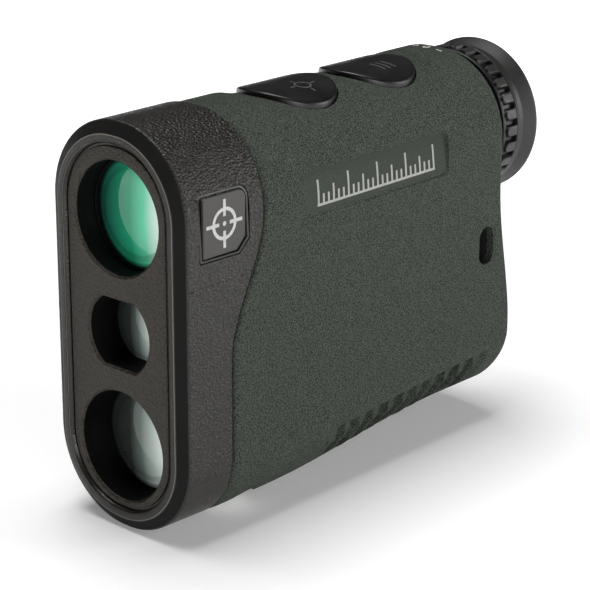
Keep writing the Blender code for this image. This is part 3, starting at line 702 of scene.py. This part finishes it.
RUBBERS = {
    "button": ("button_rubber", (0.0035, 0.0034, 0.0033), 0.34, 0.2),
    "eyecup": ("eyecup_rubber", (0.016, 0.0155, 0.015), 0.45, 0.1),
    "seal": ("seal_rubber", (0.006, 0.006, 0.006), 0.7),
    "black": ("anodised_black", (0.0015, 0.0015, 0.0015), 0.6, 0.05, 0.15),
    # The edge look is a painted highlight: light lines along the rim's edges.
    "edge": ("worn_edge", (0.13, 0.12, 0.105), 0.45, 0.2),
    "chamfer": ("chamfer_polymer", (0.008, 0.0078, 0.0075), 0.6, 0.1, 0.12),
    "chassis": ("chassis_polymer", (0.015, 0.015, 0.015), 0.6),
}
PRINTS = {
    "badge": ("badge_polymer", (0.045, 0.043, 0.041), 0.5),
    "frame": ("badge_frame_polymer", (0.022, 0.021, 0.020), 0.4),
    # The emboss look is light grey: a painted glint on the raised black marks.
    "emboss": ("button_print", (0.09, 0.09, 0.088), 0.45),
    "badge_mark": ("badge_print", (0.5, 0.5, 0.49), 0.5),
    "mark": ("light_print", (0.33, 0.33, 0.32), 0.5),
    "white": ("white_print", (0.7, 0.7, 0.68), 0.5),
    "foil": ("label_film", (0.42, 0.42, 0.41), 0.35),
    "chip": ("component_black", (0.015, 0.015, 0.018), 0.42),
    "flex": ("flex_film", (0.5, 0.22, 0.04), 0.4),
    "cell": ("cell_sleeve", (0.04, 0.1, 0.26), 0.35),
}
METALS = {
    "steel": ("steel", (0.55, 0.55, 0.57), 0.3),
    "brass": ("contact_brass", (0.78, 0.6, 0.3), 0.28),
}
GLASSES = {
    "objective": ("coated_glass", OBJECTIVE_AXIS, LENS_RADIUS, GREEN_REFLECTION_SWEEP),
    "eye": ("eye_glass", EYE_AXIS, EYE_RADIUS, EYE_REFLECTION_SWEEP),
    "receiver": ("receiver_glass", RECEIVER_AXIS, LENS_RADIUS, CLEAR_REFLECTION_SWEEP),
    "emitter": ("emitter_glass", EMITTER_AXIS, EMITTER_RADIUS, CLEAR_REFLECTION_SWEEP),
}
MATERIALS = {
    "armour": armour_material(),
    "bezel": bezel_material(),
    "plate": plate_material(),
    "ring": ring_material(),
    "board": board_material(),
}
for make, table in (
    (rubber_material, RUBBERS),
    (printed_material, PRINTS),
    (metal_material, METALS),
    (glass_material, GLASSES),
):
    MATERIALS.update({look: make(*row) for look, row in table.items()})


# ---- body


def badge_path(margin):
    """The badge's outline set in by a margin, as (station, level), with one corner cut off and one
    rounded."""
    x0, x1, y0, y1 = BADGE
    x0, x1, y0, y1 = x0 + margin, x1 - margin, y0 + margin, y1 - margin
    cut = BADGE_CUT - margin * 0.4
    rounding = BADGE_CORNER - margin * 0.5
    small = 0.35
    path = arc((x0 + small, y0 + small), (small, small), 180, 270, 4)
    path += [(x1 - cut, y0), (x1, y0 + cut)]
    path += arc((x1 - rounding, y1 - rounding), (rounding, rounding), 0, 90, 12)
    return path + arc((x0 + small, y1 - small), (small, small), 90, 180, 4)


def bezel_outline(share):
    """The bezel's outline at a share of the way from its front edge to its back."""
    return tuple(a + (b - a) * share for a, b in zip(BEZEL_EDGE, BEZEL_BACK))


def bezel_surface(station, level):
    """How far out the bezel's side lies at a station and level."""
    share = (station - BEZEL_START) / (parting(level) - BEZEL_START)
    return half_width(level, 0.0, bezel_outline(share))


def bezel_press(across, station, level):
    """A faint mould seam on the bezel's side."""
    return 0.08 * max(0.0, 1 - abs(level - SEAM_LEVEL - 0.03 * (station - 7)) / SEAM_HALF)


def build_bezel():
    marked = [level_to_t(BEZEL_EDGE, SEAM_LEVEL + SEAM_HALF * i) for i in range(-5, 6)]
    steps = spread(0, 1, 2) + spread(1, 2, 40) + spread(2, 3, 44) + spread(3, 4, 40)
    steps = sorted(set(steps + [4, 4.5, 5] + marked))

    def bands(profile):
        return [(inset(BEZEL_EDGE, BEZEL_EDGE[0] - width), station) for width, station in profile]

    def loop_piece(name, look, profile):
        finish_piece(loft(name, bands(profile), steps, look, loop=True), "bezel_polymer")

    profile = [(MOUTH_IN, 2.5), (MOUTH_IN, 0.8), (MOUTH_IN + 0.04, 0.66), (RIM_IN - 0.1, 0.13)]
    profile += [(RIM_IN + 0.06, 0.0), (RIM_OUT - 0.14, 0.0), (RIM_OUT - 0.03, 0.03)]
    profile += [(RIM_OUT + 0.09, 0.10), (14.9, 0.47), (15.7, 0.96), (16.28, CHAMFER_END - 0.18)]
    profile += [(16.42, CHAMFER_END - 0.06), (16.48, CHAMFER_END + 0.08)]
    rings = [*bands(profile), (BEZEL_EDGE, BEZEL_START)]
    rows = 60
    for row in range(1, rows):

        def station(level, share=row / rows):
            return BEZEL_START + (parting(level) - 0.25 - BEZEL_START) * share

        rings.append((bezel_outline(row / rows), station, bezel_press))
    for depth, ahead in ((0.03, 0.14), (0.12, 0.04), (0.25, 0.0)):
        rings.append((inset(BEZEL_BACK, depth), lambda level, a=ahead: parting(level) - a))
    cavity = inset(ARMOUR, ARMOUR_WALL)
    rings += [(cavity, parting), (cavity, 4.0), (LEDGE, 4.0), (LEDGE, 2.5)]
    bezel = loft("bezel_shell", rings, steps, "bezel", loop=True)
    pocket = badge_path(0.0)
    cut_with(bezel, [extrude_x(pocket, 15.9, 19), extrude_x(pocket, -19, -15.9)])
    finish_piece(bezel, "bezel_polymer", "front_bezel")
    front = [(14.42, 0.14), (14.9, 0.45), (15.7, 0.94), (16.22, 1.27)]
    behind = [(16.2, 1.4), (15.6, 1.05), (14.8, 0.56), (14.4, 0.3)]
    loop_piece("bezel_chamfer_band", "chamfer", front + behind)
    # Thin light lines on the rim's outer and inner edges, a painted highlight.
    for tag, width in (("outer", RIM_OUT - 0.05), ("inner", RIM_IN + 0.1)):
        flat = [(width - 0.07, 0.0), (width + 0.07, 0.0)]
        loop_piece(f"rim_highlight_line_{tag}", "edge", flat + [(width + 0.12, 0.06), (width - 0.12, 0.06)])
    seal = [(12.1, 0.95), (12.55, 0.95), (12.55, PLATE_BACK), (12.1, PLATE_BACK)]
    loop_piece("plate_surround", "bezel", seal)


def finish_piece(obj, slot, *nodes, body="root"):
    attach(obj, body)
    if nodes:
        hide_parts(*nodes)


def emitter_outline(extra):
    radius = EMITTER_BORE + extra
    turn = degrees(asin((EMITTER_FLAT + extra) / radius))
    right = arc((0, 0), (radius, radius), -turn, turn, 24)
    return right + arc((0, 0), (radius, radius), 180 - turn, 180 + turn, 24)


def rims_of(outline, level, spots):
    """An opening's outline about a level, at each (extra size, station)."""
    return [[(a, station, b + level) for a, b in outline(extra)] for extra, station in spots]


def build_plate():
    steps = spread(0, 1, 2) + spread(1, 2, 40) + spread(2, 3, 20) + spread(3, 4, 40) + [4, 4.5, 5]
    rims = ((0.35, 0.0), (0.12, 0.06), (0.02, 0.2), (0.0, 0.4), (0.0, PLATE_BACK - PLATE_FRONT))
    rings = [(inset(PLATE, depth), PLATE_FRONT + back) for depth, back in rims]
    plate = loft("aperture_plate", rings, steps, "plate")
    edge = ((0.75, 0.0), (0.42, PLATE_FRONT), (0.1, 0.78), (0.0, 0.98), (0.0, 3.5))
    tools = []
    for level in (OBJECTIVE_AXIS, RECEIVER_AXIS):
        rims = [(LENS_BORE + extra, station) for extra, station in edge]
        tools.append(turned("tool", None, level, [(0, 0.0), *rims, (0, 3.5)], loop=False))
    cut_with(plate, [*tools, prism("tool", rims_of(emitter_outline, EMITTER_AXIS, edge))])
    finish_piece(plate, "front_plate_polymer", "front_plate")


def build_liners():
    """Thin matt black sleeves inside the plate's three apertures."""

    def round_outline(extra):
        return circle((0, 0), (LENS_BORE + extra, LENS_BORE + extra), 180)

    spots = ((-0.03, 0.95), (-0.03, 2.9), (0.04, 2.9), (0.04, 0.95))
    for tag, level, outline in (
        ("objective", OBJECTIVE_AXIS, round_outline),
        ("receiver", RECEIVER_AXIS, round_outline),
        ("emitter", EMITTER_AXIS, emitter_outline),
    ):
        liner = prism(f"{tag}_liner", rims_of(outline, level, spots), "black", loop=True)
        finish_piece(liner, "anodised_aluminium")


def grip_depth(across, station, level):
    """Overlapping hollows, each a ramp that deepens towards the rear and ends in a short wall."""
    start, end = GRIP_SPAN
    fade = smooth((station - start) / 8.0) * smooth((end - station) / 2.5)
    first = GRIP_LEVEL + GRIP_SLOPE * (station - GRIP_MIDDLE)
    if level > first + 2.0 or fade == 0:
        return 0.0
    deepest = 0.0
    for below, half, shift in GRIP_ROWS:
        share = 1.0 - abs(level - first + below) / half
        phase = ((station - GRIP_MIDDLE) / GRIP_PITCH - shift) % 1.0
        ramp = phase if phase < GRIP_WALL else (1.0 - phase) / (1.0 - GRIP_WALL)
        deepest = max(deepest, ramp * smooth(2.0 * share))
    return GRIP_DEPTH * deepest * fade


def panel_depth(station, level):
    """Depth of the side panel: a sharp upper and rear wall, and a floor that runs out towards the
    front and below."""
    if not 15 < level < 28:
        return 0.0
    away = box_distance(station, level, PANEL, PANEL_CORNER if station > 50 else 0.0)
    floor = 0.28 + 0.4 * smooth((station - PANEL[0]) / (PANEL[1] - PANEL[0]))
    floor *= 0.45 + 0.55 * smooth((level - PANEL[2]) / 5)
    return floor * smooth(0.5 - away / 0.22)


def dish_depth(across, station):
    """The soft dish round both buttons."""
    left = 1.0
    for centre in BUTTONS.values():
        away = hypot(across, station - centre) - BUTTON_HOLE
        left *= smooth(away / DISH_WIDTH)
    return DISH_DEPTH * (1.0 - left)


def armour_press(across, station, level):
    """Depth of the armour's surface below its plain outline."""
    depth = grip_depth(across, station, level) if level < -15 else panel_depth(station, level)
    if level > 0:
        depth += dish_depth(across, station)
    if level < -28:
        away = hypot(across / LABEL_SIZE[0], (station - LABEL_STATION) / LABEL_SIZE[1]) - 1
        depth += 0.85 * smooth(-away / 0.05 + 0.3)
    radius = SLOT_SIZE[0] / 2
    beyond = max(abs(level - SLOT_LEVEL) - SLOT_SIZE[1] / 2 + radius, 0)
    slot = hypot(station - SLOT_STATION, beyond) - radius
    depth += 0.3 * (1 - smooth(slot / 0.55))
    return depth


def build_armour():
    top = [level_to_t(ARMOUR, PANEL[3] + d) for d in (-0.4, -0.25, -0.1, 0.05, 0.2, 0.35)]
    low = [level_to_t(ARMOUR, PANEL[2] + d) for d in (-0.35, -0.2, -0.05, 0.1, 0.25, 0.4)]
    steps = spread(0, 1, 3) + spread(1, 2, 60) + spread(2, 3, 56) + spread(3, 4, 64)
    steps = sorted(set(steps + spread(4, 5, 3) + [5] + top + low))
    front, back = 25.0, 84.5
    rings = []
    for depth, gap in ((0.75, 0.35), (0.45, 0.42), (0.22, 0.6), (0.07, 0.9)):
        rings.append((inset(ARMOUR, depth), lambda level, g=gap: parting(level) + g))
    for share in spread(0, 1, 20):

        def behind_bezel(level, s=share):
            return (parting(level) + 1.35) * (1 - s) + front * s

        rings.append((ARMOUR, behind_bezel, armour_press))
    stations = [front + 0.44 * i for i in range(136) if front + 0.44 * i < back]
    for edge in (PANEL[0], PANEL[1]):
        stations += [edge + d for d in (-0.3, -0.15, 0.0, 0.15, 0.3)]
    rings += [(ARMOUR, station, armour_press) for station in sorted(stations)]
    for share in spread(0, 1, 10):

        def before_rear(level, s=share):
            return back * (1 - s) + (rear(level) - REAR_ROUND) * s

        rings.append((ARMOUR, before_rear, armour_press))
    for turn in range(0, 91, 9):
        angle = radians(turn)
        behind = REAR_ROUND * (1 - sin(angle))
        drawn = inset(ARMOUR, REAR_ROUND * (1 - cos(angle)))
        rings.append((drawn, lambda level, b=behind: rear(level) - b))
    armour = loft("armour_sleeve", rings, steps, "armour")
    inner = inset(ARMOUR, ARMOUR_WALL)
    between = (5.0, *DROP_SPAN, 26.0, 35.0, 44.0, 53.0, 62.0, 71.0, 80.0)
    inside = [(inner, station) for station in between]
    inside.append((inner, lambda level: rear(level) - ARMOUR_WALL))
    plain = spread(0, 1, 1) + spread(1, 2, 16) + spread(2, 3, 16) + spread(3, 4, 16) + [4, 5]
    tools = [loft("tool", inside, plain)]
    for axis, radius, start in ((EYE_AXIS, 12.3, 70), (BATTERY_AXIS, 10.1, 88)):
        bore = [(0, start), (radius, start), (radius, 100), (0, 100)]
        tools.append(turned("tool", None, axis, bore, loop=False))
    tools.append(extrude_x(oblong((SLOT_STATION, SLOT_LEVEL), SLOT_SIZE), -20, 20))
    for station in BUTTONS.values():
        hole = circle((0, station), (BUTTON_HOLE, BUTTON_HOLE), FINE)
        tools.append(prism("tool", [[(a, b, level) for a, b in hole] for level in (25.0, 45.0)]))
    cut_with(armour, tools)
    finish_piece(armour, "armour_rubber", "rubber_armour")


def on_side(side, amount):
    """Places (station, level) on the armour's side, set in by amount."""

    def place(station, level):
        here = half_width(level, amount)
        over = max(abs(level) - (ARMOUR[1] - ARMOUR[2]), 0.0) / (ARMOUR[2] - amount)
        lean = copysign(min(over, 1.0), level)
        return (side * here, station, level), (side * sqrt(1 - lean * lean), 0, lean)

    return place


def on_panel(side):
    """Places (station, level) on the floor of the side panel."""

    def place(station, level):
        return on_side(side, panel_depth(station, level))(station, level)

    return place


def on_top(amount):
    """Places (across, station) on the armour's top, set in by amount."""

    def place(across, station):
        radius = ARMOUR[2] - amount
        lean = copysign(max(abs(across) - (ARMOUR[0] - ARMOUR[2]), 0.0), across) / radius
        return (across, station, top_level(across, amount)), (lean, 0, sqrt(1 - lean * lean))

    return place


def panel_scale(side, tag):
    """A plain graduated scale on the side panel."""
    stations = [SCALE_START + i * SCALE_STEP for i in range(SCALE_TICKS)]
    if side < 0:
        stations = [SCALE_ENDS - station for station in stations]
    ticks = []
    for i, station in enumerate(stations):
        tall = 4.6 if i % 6 == 0 else 3.2 if i % 3 == 0 else 1.9
        ticks.append(line((station, SCALE_BASE), (station, SCALE_BASE + tall), 4))
    ends = (min(stations) - 0.28, SCALE_BASE), (max(stations) + 0.28, SCALE_BASE)
    for part, paths, lift in (("ticks", ticks, 0.06), ("rule", [line(*ends, 40)], 0.05)):
        stroke(f"panel_{part}_{tag}", "mark", paths, SCALE_WIDTH, on_panel(side), lift, 0.15)


def build_badge(side, tag):
    """A frame that stands in the bezel's pocket, a plate inside it, and a plain reticle."""
    rims = []
    outer = ((0.16, 0.7), (0.16, 0.07), (0.24, -0.02))
    for margin, drop in (*outer, (0.52, -0.02), (0.6, 0.07), (0.6, 0.7)):
        path = badge_path(margin)
        rims.append([(side * (bezel_surface(a, b) - drop), a, b) for a, b in path])
    finish_piece(prism(f"badge_frame_{tag}", rims, "frame", loop=True), "bezel_polymer")
    rims = []
    for margin, inward in ((0.8, 0.55), (0.8, 0.17), (0.84, 0.07), (0.94, 0.01), (1.1, 0.0)):
        rims.append([(side * (BADGE_FACE - inward), a, b) for a, b in badge_path(margin)])
    plate = prism(f"badge_plate_{tag}", rims, "badge")
    finish_piece(plate, "badge_polymer", f"badge_{tag}")

    def place(station, level):
        return (side * BADGE_FACE, station, level), (side, 0, 0)

    def mark(part, paths, width, lift, closed=False):
        name = f"badge_{part}_{tag}"
        stroke(name, "badge_mark", paths, width, place, lift, 0.12, closed=closed)

    mark("ring", [circle(BADGE_MIDDLE, (2.6, 2.6), 48)], 0.62, 0.06, closed=True)
    mark("bars", cross(BADGE_MIDDLE, 1.3, 4.3), 0.62, 0.07)
    mark("dot", [circle(BADGE_MIDDLE, (0.22, 0.22), 12)], 0.4, 0.065, closed=True)


def build_label():
    bm = bmesh.new()
    loops = []
    segments = 96
    width, length = (size - 0.5 for size in LABEL_SIZE)
    lower = [(on_top(0.62), share) for share in (0.0, 0.35, 0.7, 1.0)]
    upper = [(on_top(0.1), share) for share in (1.0, 0.97, 0.7, 0.35, 0.0)]
    for place, share in lower + upper:
        ring = []
        for turn in even_turns(segments):
            along = length * share * sin(turn)
            spot, _ = place(width * share * cos(turn), LABEL_STATION + along)
            ring.append((spot[0], spot[1], bent(spot[1], -spot[2])))
        loops.append(new_verts(bm, ring) if share else new_verts(bm, ring[:1]) * segments)
    add_faces(bm, loops)
    finish_piece(mesh_object("label_disc", bm, "foil"), "label_foil", "label_plate")


# ---- controls


def button_dish(away):
    """How far a button's top is dished at a distance from its middle."""
    return BUTTON_DISH * (1 - smooth(away / BUTTON_DISH_RADIUS))


def build_button(tag, station):
    """A crowned cap over the curved top, with a rounded shoulder, a straight skirt and a stem."""
    bm = bmesh.new()
    segments = 144

    def ring(radius, level):
        points = []
        for turn in even_turns(segments):
            across = radius * cos(turn)
            points.append((across, station + radius * sin(turn), level(across)))
        return new_verts(bm, points) if radius else new_verts(bm, points[:1]) * segments

    flat = BUTTON_RADIUS - BUTTON_SHOULDER
    rows = [(flat * i / 10, 0.0) for i in range(11)]
    for step in range(1, 8):
        angle = radians(90 * step / 7)
        drop = BUTTON_SHOULDER * (1 - cos(angle))
        rows.append((flat + BUTTON_SHOULDER * sin(angle), drop))
    rows += [(BUTTON_RADIUS, 1.0), (BUTTON_RADIUS, BUTTON_SKIRT)]
    loops = []
    for radius, drop in rows:
        sunk = drop + button_dish(radius)
        loops.append(ring(radius, lambda across, s=sunk: top_level(across) - s))
    for radius in (6.0, STEM_RADIUS):
        loops.append(ring(radius, lambda across: top_level(across, BUTTON_UNDER)))
    loops += [ring(STEM_RADIUS, lambda across: BUTTON_FOOT), ring(0, lambda across: BUTTON_FOOT)]
    add_faces(bm, loops)
    obj = mesh_object(f"{tag}_button_cap", bm, "button", 50)
    finish_piece(obj, "button_rubber", f"{tag}_button", body=f"{tag}_button")


def on_button(across, station):
    """A place on a button's top, which is slightly dished."""
    near = min(BUTTONS.values(), key=lambda centre: abs(station - centre))
    spot, normal = on_top(0.0)(across, station)
    return (spot[0], spot[1], spot[2] - button_dish(hypot(across, station - near))), normal


def button_marks():
    """Raised marks, light grey as a painted glint: a target on the front button and three bars on
    the rear one.
    """

    def mark(name, paths, width, body, closed=False):
        stroke(name, "emboss", paths, width, on_button, 0.03, 0.2, body, closed)

    centre = Vector((3.0, BUTTONS["measure"] + 1.0))
    mark("measure_mark_ring", [circle(centre, (1.5, 1.5), 36)], 0.32, "measure_button", True)
    mark("measure_mark_bars", cross(centre, 2.0, 3.1, 2), 0.32, "measure_button")
    start = BUTTONS["menu"] + 1.0
    rows = [line((1.2, start + d), (5.0, start + d), 6) for d in (-1.5, 0.0, 1.5)]
    mark("menu_mark_bars", rows, 0.36, "menu_button")


def dioptre_marks():
    """A plus, a ring and a minus printed on the armour in front of the dioptre ring."""

    def mark(name, path, width=0.3, lift=0.02, closed=False):
        stroke(name, "white", [path], width, on_top(0.0), lift, 0.1, "root", closed)

    middle = DIOPTRE_STATION
    mark("dioptre_plus", line((-3.7, middle), (-2.3, middle), 2))
    mark("dioptre_plus_stem", line((-3.0, middle - 0.7), (-3.0, middle + 0.7), 2), lift=0.024)
    mark("dioptre_zero", circle((-0.3, middle), (0.55, 0.8), 24), closed=True)
    mark("dioptre_minus", line((2.4, middle - 0.4), (3.8, middle - 0.4), 2), 0.32)


# ---- optics


def dome(radius, edge, rise, back, back_rise):
    """A lens's profile: how far its front and back rise from their edges to the middle."""
    shares = [i / 16 for i in range(17)]
    front = [(radius * share, edge - rise * (1 - share**2)) for share in shares]
    behind = [(radius * share, back + back_rise * (1 - share**2)) for share in shares]
    return front + behind[::-1]


def tube(name, level, profile, body, node, rounding=0.12, slot="anodised_aluminium"):
    outline = rounded_profile(profile, rounding, 3)
    finish_piece(turned(name, "black", level, outline), slot, node, body=body)


def lens(name, look, level, shape, body, slot, node):
    finish_piece(turned(name, look, level, dome(*shape), loop=False), slot, node, body=body)


def emitter_flats(turn, radius, station):
    """Flats above and below the front of the emitter's bore."""
    rise = abs(sin(turn))
    if station > EMITTER_FLAT_END or radius > 8 or rise < 0.1:
        return radius
    return min(radius, 6.25 / rise)


def build_optics():
    bore = LENS_BORE + 0.02
    outer = LENS_BORE + 0.65
    level = OBJECTIVE_AXIS
    cell = [(outer, 2.5), (outer, 20.0), (9.2, 20.0), (9.2, 9.8), (bore, 9.8), (bore, 2.5)]
    tube("objective_tube", level, cell, "root", "objective_cell")
    keeper = [(10.05, 4.9), (10.05, 5.7), (9.75, 5.7), (9.75, 4.9)]
    tube("objective_keeper", level, keeper, "root", "objective_retainer", 0.08)
    shape = (LENS_RADIUS, 5.9, 1.2, 8.8, 0.3)
    lens("objective_glass", "objective", level, shape, "root", "coated_glass", "objective_lens")

    level = EMITTER_AXIS
    shroud = [(8.2, 2.5), (8.2, 36.0), (3.1, 36.0), (3.1, 34.6), (6.6, 34.6), (6.6, 10.2)]
    shroud += [(7.5, 10.2), (7.5, 6.5), (7.5, 6.4), (7.5, 2.5)]
    made = turned("emitter_shroud", "black", level, shroud, reach=emitter_flats)
    finish_piece(made, "anodised_aluminium", "emitter_tube")
    shape = (EMITTER_RADIUS, 6.9, 1.0, 9.8, 0.2)
    lens("emitter_glass", "emitter", level, shape, "root", "clear_glass", "emitter_lens")

    level = RECEIVER_AXIS
    cone = [(outer, 2.5), (outer, 12.0), (4.2, 33.0), (3.4, 33.0)]
    cone += [(9.3, 13.2), (9.3, 10.6), (bore, 10.6), (bore, 2.5)]
    tube("receiver_cone", level, cone, "root", "receiver_tube")
    shape = (LENS_RADIUS, 7.3, 1.1, 10.2, 0.2)
    lens("receiver_glass", "receiver", level, shape, "root", "clear_glass", "receiver_lens")


def rib_reach(turn, radius, station):
    """The dioptre ring's grip: rounded pads that stand out from a lower band, open at the rear."""
    if radius < 14.9 or not RIB_SPAN[0] < station < RIB_SPAN[1]:
        return radius
    phase = abs((turn * RIBS / (2 * pi)) % 1.0 - 0.5) * 2
    from_front = max(0.0, 92.6 - station) / 0.9
    half = 0.66 * sqrt(max(0.0, 1 - min(from_front, 1.0) ** 2))
    pad = smooth((half - (1 - phase)) / 0.3 + 0.5) if half > 0 else 0.0
    band = smooth((92.0 - station) / 0.3) * 0.45
    return radius - RIB_HEIGHT + max(RIB_HEIGHT * pad, band)


def build_eyepiece():
    housing = [(11.9, 78.5), (11.9, 88.9), (14.2, 88.9), (14.2, 90.7), (12.6, 90.7), (12.6, 97.0)]
    housing += [(11.15, 97.0), (11.15, 78.5)]
    tube("eyepiece_body", EYE_AXIS, housing, "root", "eyepiece_housing", 0.25, "chassis_polymer")
    ring = [(14.0, 91.0), (14.4, 91.08), (14.55, 91.25)]
    ring += [(15.05, 91.31 + 0.116 * i) for i in range(30)]
    ring += [(14.9, 94.83), (14.5, 94.9), (13.7, 94.9), (13.7, 98.6), (13.0, 98.6), (13.0, 91.0)]
    grip = turned("dioptre_grip", "ring", EYE_AXIS, ring, RIBS * 18, rib_reach)
    finish_piece(grip, "bezel_polymer", "dioptre_ring", body="focus_ring")
    cup = [(14.9, 95.2), (14.5, 96.2), (14.55, 97.3), (14.95, 98.5), (15.35, 99.7), (15.5, 100.2)]
    cup += [(15.4, LENGTH), (14.0, LENGTH), (13.0, 100.2), (12.2, 99.6), (11.6, 98.9)]
    cup += [(14.0, 98.9), (14.0, 95.2)]
    rim = turned("eyecup_rim", "eyecup", EYE_AXIS, rounded_profile(cup, 0.35, 5))
    finish_piece(rim, "eyecup_rubber", "eyecup", body="focus_ring")
    barrel = [(10.8, 79.5), (10.8, 96.2), (9.9, 96.2), (9.9, 80.8), (8.8, 80.8), (8.8, 79.5)]
    tube("ocular_sleeve", EYE_AXIS, barrel, "ocular", "ocular_barrel", 0.15)
    keeper = [(9.5, 94.2), (9.5, 95.4), (8.7, 95.4), (8.7, 94.2)]
    tube("ocular_keeper", EYE_AXIS, keeper, "ocular", "ocular_retainer", 0.1)
    shape = (EYE_RADIUS, 90.4, 0.0, 93.0, 1.0)
    lens("eye_glass", "eye", EYE_AXIS, shape, "ocular", "coated_glass", "eye_lens")


def knurl(turn, radius, station):
    """Shallow grooves round the battery cap's head."""
    if radius < 9.6 or station < CAP_FACE - 3.3:
        return radius
    phase = abs((turn * CAP_GROOVES / (2 * pi)) % 1.0 - 0.5)
    return radius - 0.18 * smooth(phase * 4 - 0.8)


def build_battery_cap():
    profile = [(0, -6.7), (7.85, -6.7), (7.85, -5.9), (7.2, -5.9), (7.2, -4.5), (7.85, -4.5)]
    profile += [(7.85, -3.4), (9.7, -3.4), (9.7, -0.7), (9.55, -0.3), (9.2, -0.05), (8.8, 0.0)]
    profile += [(7.9, -0.15), (0, -0.15)]
    profile = [(radius, CAP_FACE + back) for radius, back in profile]
    segments = CAP_GROOVES * 8
    lid = turned("battery_cap_disc", "bezel", BATTERY_AXIS, profile, segments, knurl, loop=False)
    slot = [(b, BATTERY_AXIS + a) for a, b in oblong((0, 0), CAP_SLOT, 10)]
    ends = (CAP_FACE - 1.2, CAP_FACE + 1)
    cut_with(lid, [prism("tool", [[(a, station, b) for a, b in slot] for station in ends])])
    finish_piece(lid, "bezel_polymer", "battery_cap", body="battery_cap")


# ---- carried-over CAD nodes


NODE_LOOKS = {
    "chassis": "chassis_left chassis_right battery_tube lanyard_sleeve",
    "seal": "bezel_gasket measure_button_seal menu_button_seal objective_oring battery_cap_oring",
    "black": "prism_tray lens_spacer",
    # The emitter look, with its painted glow and painted reflection, also dresses these inner
    # optics.
    "emitter": "field_lens front_prism roof_prism",
    "steel": "housing_screw_1 housing_screw_2 housing_screw_3 housing_screw_4 measure_dome_switch "
    "menu_dome_switch battery_spring shield_can",
    "brass": "laser_diode photodiode positive_contact",
    "board": "main_board switch_board receiver_board",
    "chip": "processor_chip laser_capacitor reticle_display",
    "flex": "flex_cable",
    "cell": "battery",
}


def dress_nodes():
    for look, names in NODE_LOOKS.items():
        for name in names.split():
            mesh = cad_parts[name].data
            mesh.materials.clear()
            mesh.materials.append(MATERIALS[look])


# ---- studio


CAMERA_PLACE = (253.79, -232.36, 125.18)
CAMERA_TURN = (42.34, 19.04, 0.19)
CAMERA_LENS = 128.07


def build_camera():
    azimuth, rise, roll = (radians(angle) for angle in CAMERA_TURN)
    flat = cos(rise)
    back = Vector((sin(azimuth) * flat, -cos(azimuth) * flat, sin(rise)))
    right = Vector((cos(azimuth), sin(azimuth), 0))
    up = back.cross(right)
    turned_right = right * cos(roll) + up * sin(roll)
    turned_up = up * cos(roll) - right * sin(roll)
    rotation = Matrix((turned_right, turned_up, back)).transposed().to_4x4()
    data = bpy.data.cameras.new("camera")
    data.lens = CAMERA_LENS
    data.sensor_width = 36
    data.clip_start = 0.01
    camera = bpy.data.objects.new("camera", data)
    camera.matrix_world = Matrix.Translation(to_world(CAMERA_PLACE)) @ rotation
    SCENE.collection.objects.link(camera)
    bpy.context.scene.camera = camera


def area_light(name, place, target, size, power):
    data = bpy.data.lights.new(name, "AREA")
    data.shape = "RECTANGLE"
    data.size, data.size_y = size
    data.energy = power
    light = bpy.data.objects.new(name, data)
    light.location = place
    light.rotation_euler = (Vector(target) - Vector(place)).to_track_quat("-Z", "Y").to_euler()
    SCENE.collection.objects.link(light)


def build_studio():
    m = Shader("studio_floor", (0.95, 0.95, 0.95), 0.9, Specular_IOR_Level=0.0)
    m.shades(m.noise(3, 2), 0.99, 1.01)
    m.main.inputs["Emission Color"].default_value = (1, 1, 1, 1)
    m.links.new(m.remap(m.distance_out(), 0.12, 0.6, 0.17, 1.0), m.main.inputs["Emission Strength"])
    bm = bmesh.new()
    bmesh.ops.create_grid(bm, x_segments=8, y_segments=8, size=12.0)
    floor = mesh_object("floor", bm)
    floor.data.materials.append(m.material)
    world = bpy.data.worlds.new("studio")
    world.use_nodes = True
    sky = world.node_tree.nodes["Background"].inputs
    sky["Color"].default_value = (1, 1, 1, 1)
    sky["Strength"].default_value = 0.06
    SCENE.world = world
    middle = (0, 0, 0.04)
    area_light("softbox_top", (-0.34, 0.06, 2.0), middle, (1.2, 1.2), 36)
    area_light("softbox_right", (0.62, 0.60, 0.25), middle, (0.4, 0.4), 2.8)
    area_light("softbox_front", (1.1, -0.45, 0.16), middle, (0.5, 0.22), 4.8)
    view = SCENE.view_settings
    view.view_transform = "Standard"
    view.look = "None"
    view.exposure = 0.0


build_camera()
build_studio()
build_bezel()
build_plate()
build_liners()
build_armour()
for build in (build_badge, panel_scale):
    build(1, "right")
    build(-1, "left")
build_label()
for button_tag, button_station in BUTTONS.items():
    build_button(button_tag, button_station)
button_marks()
dioptre_marks()
build_optics()
build_eyepiece()
build_battery_cap()
dress_nodes()
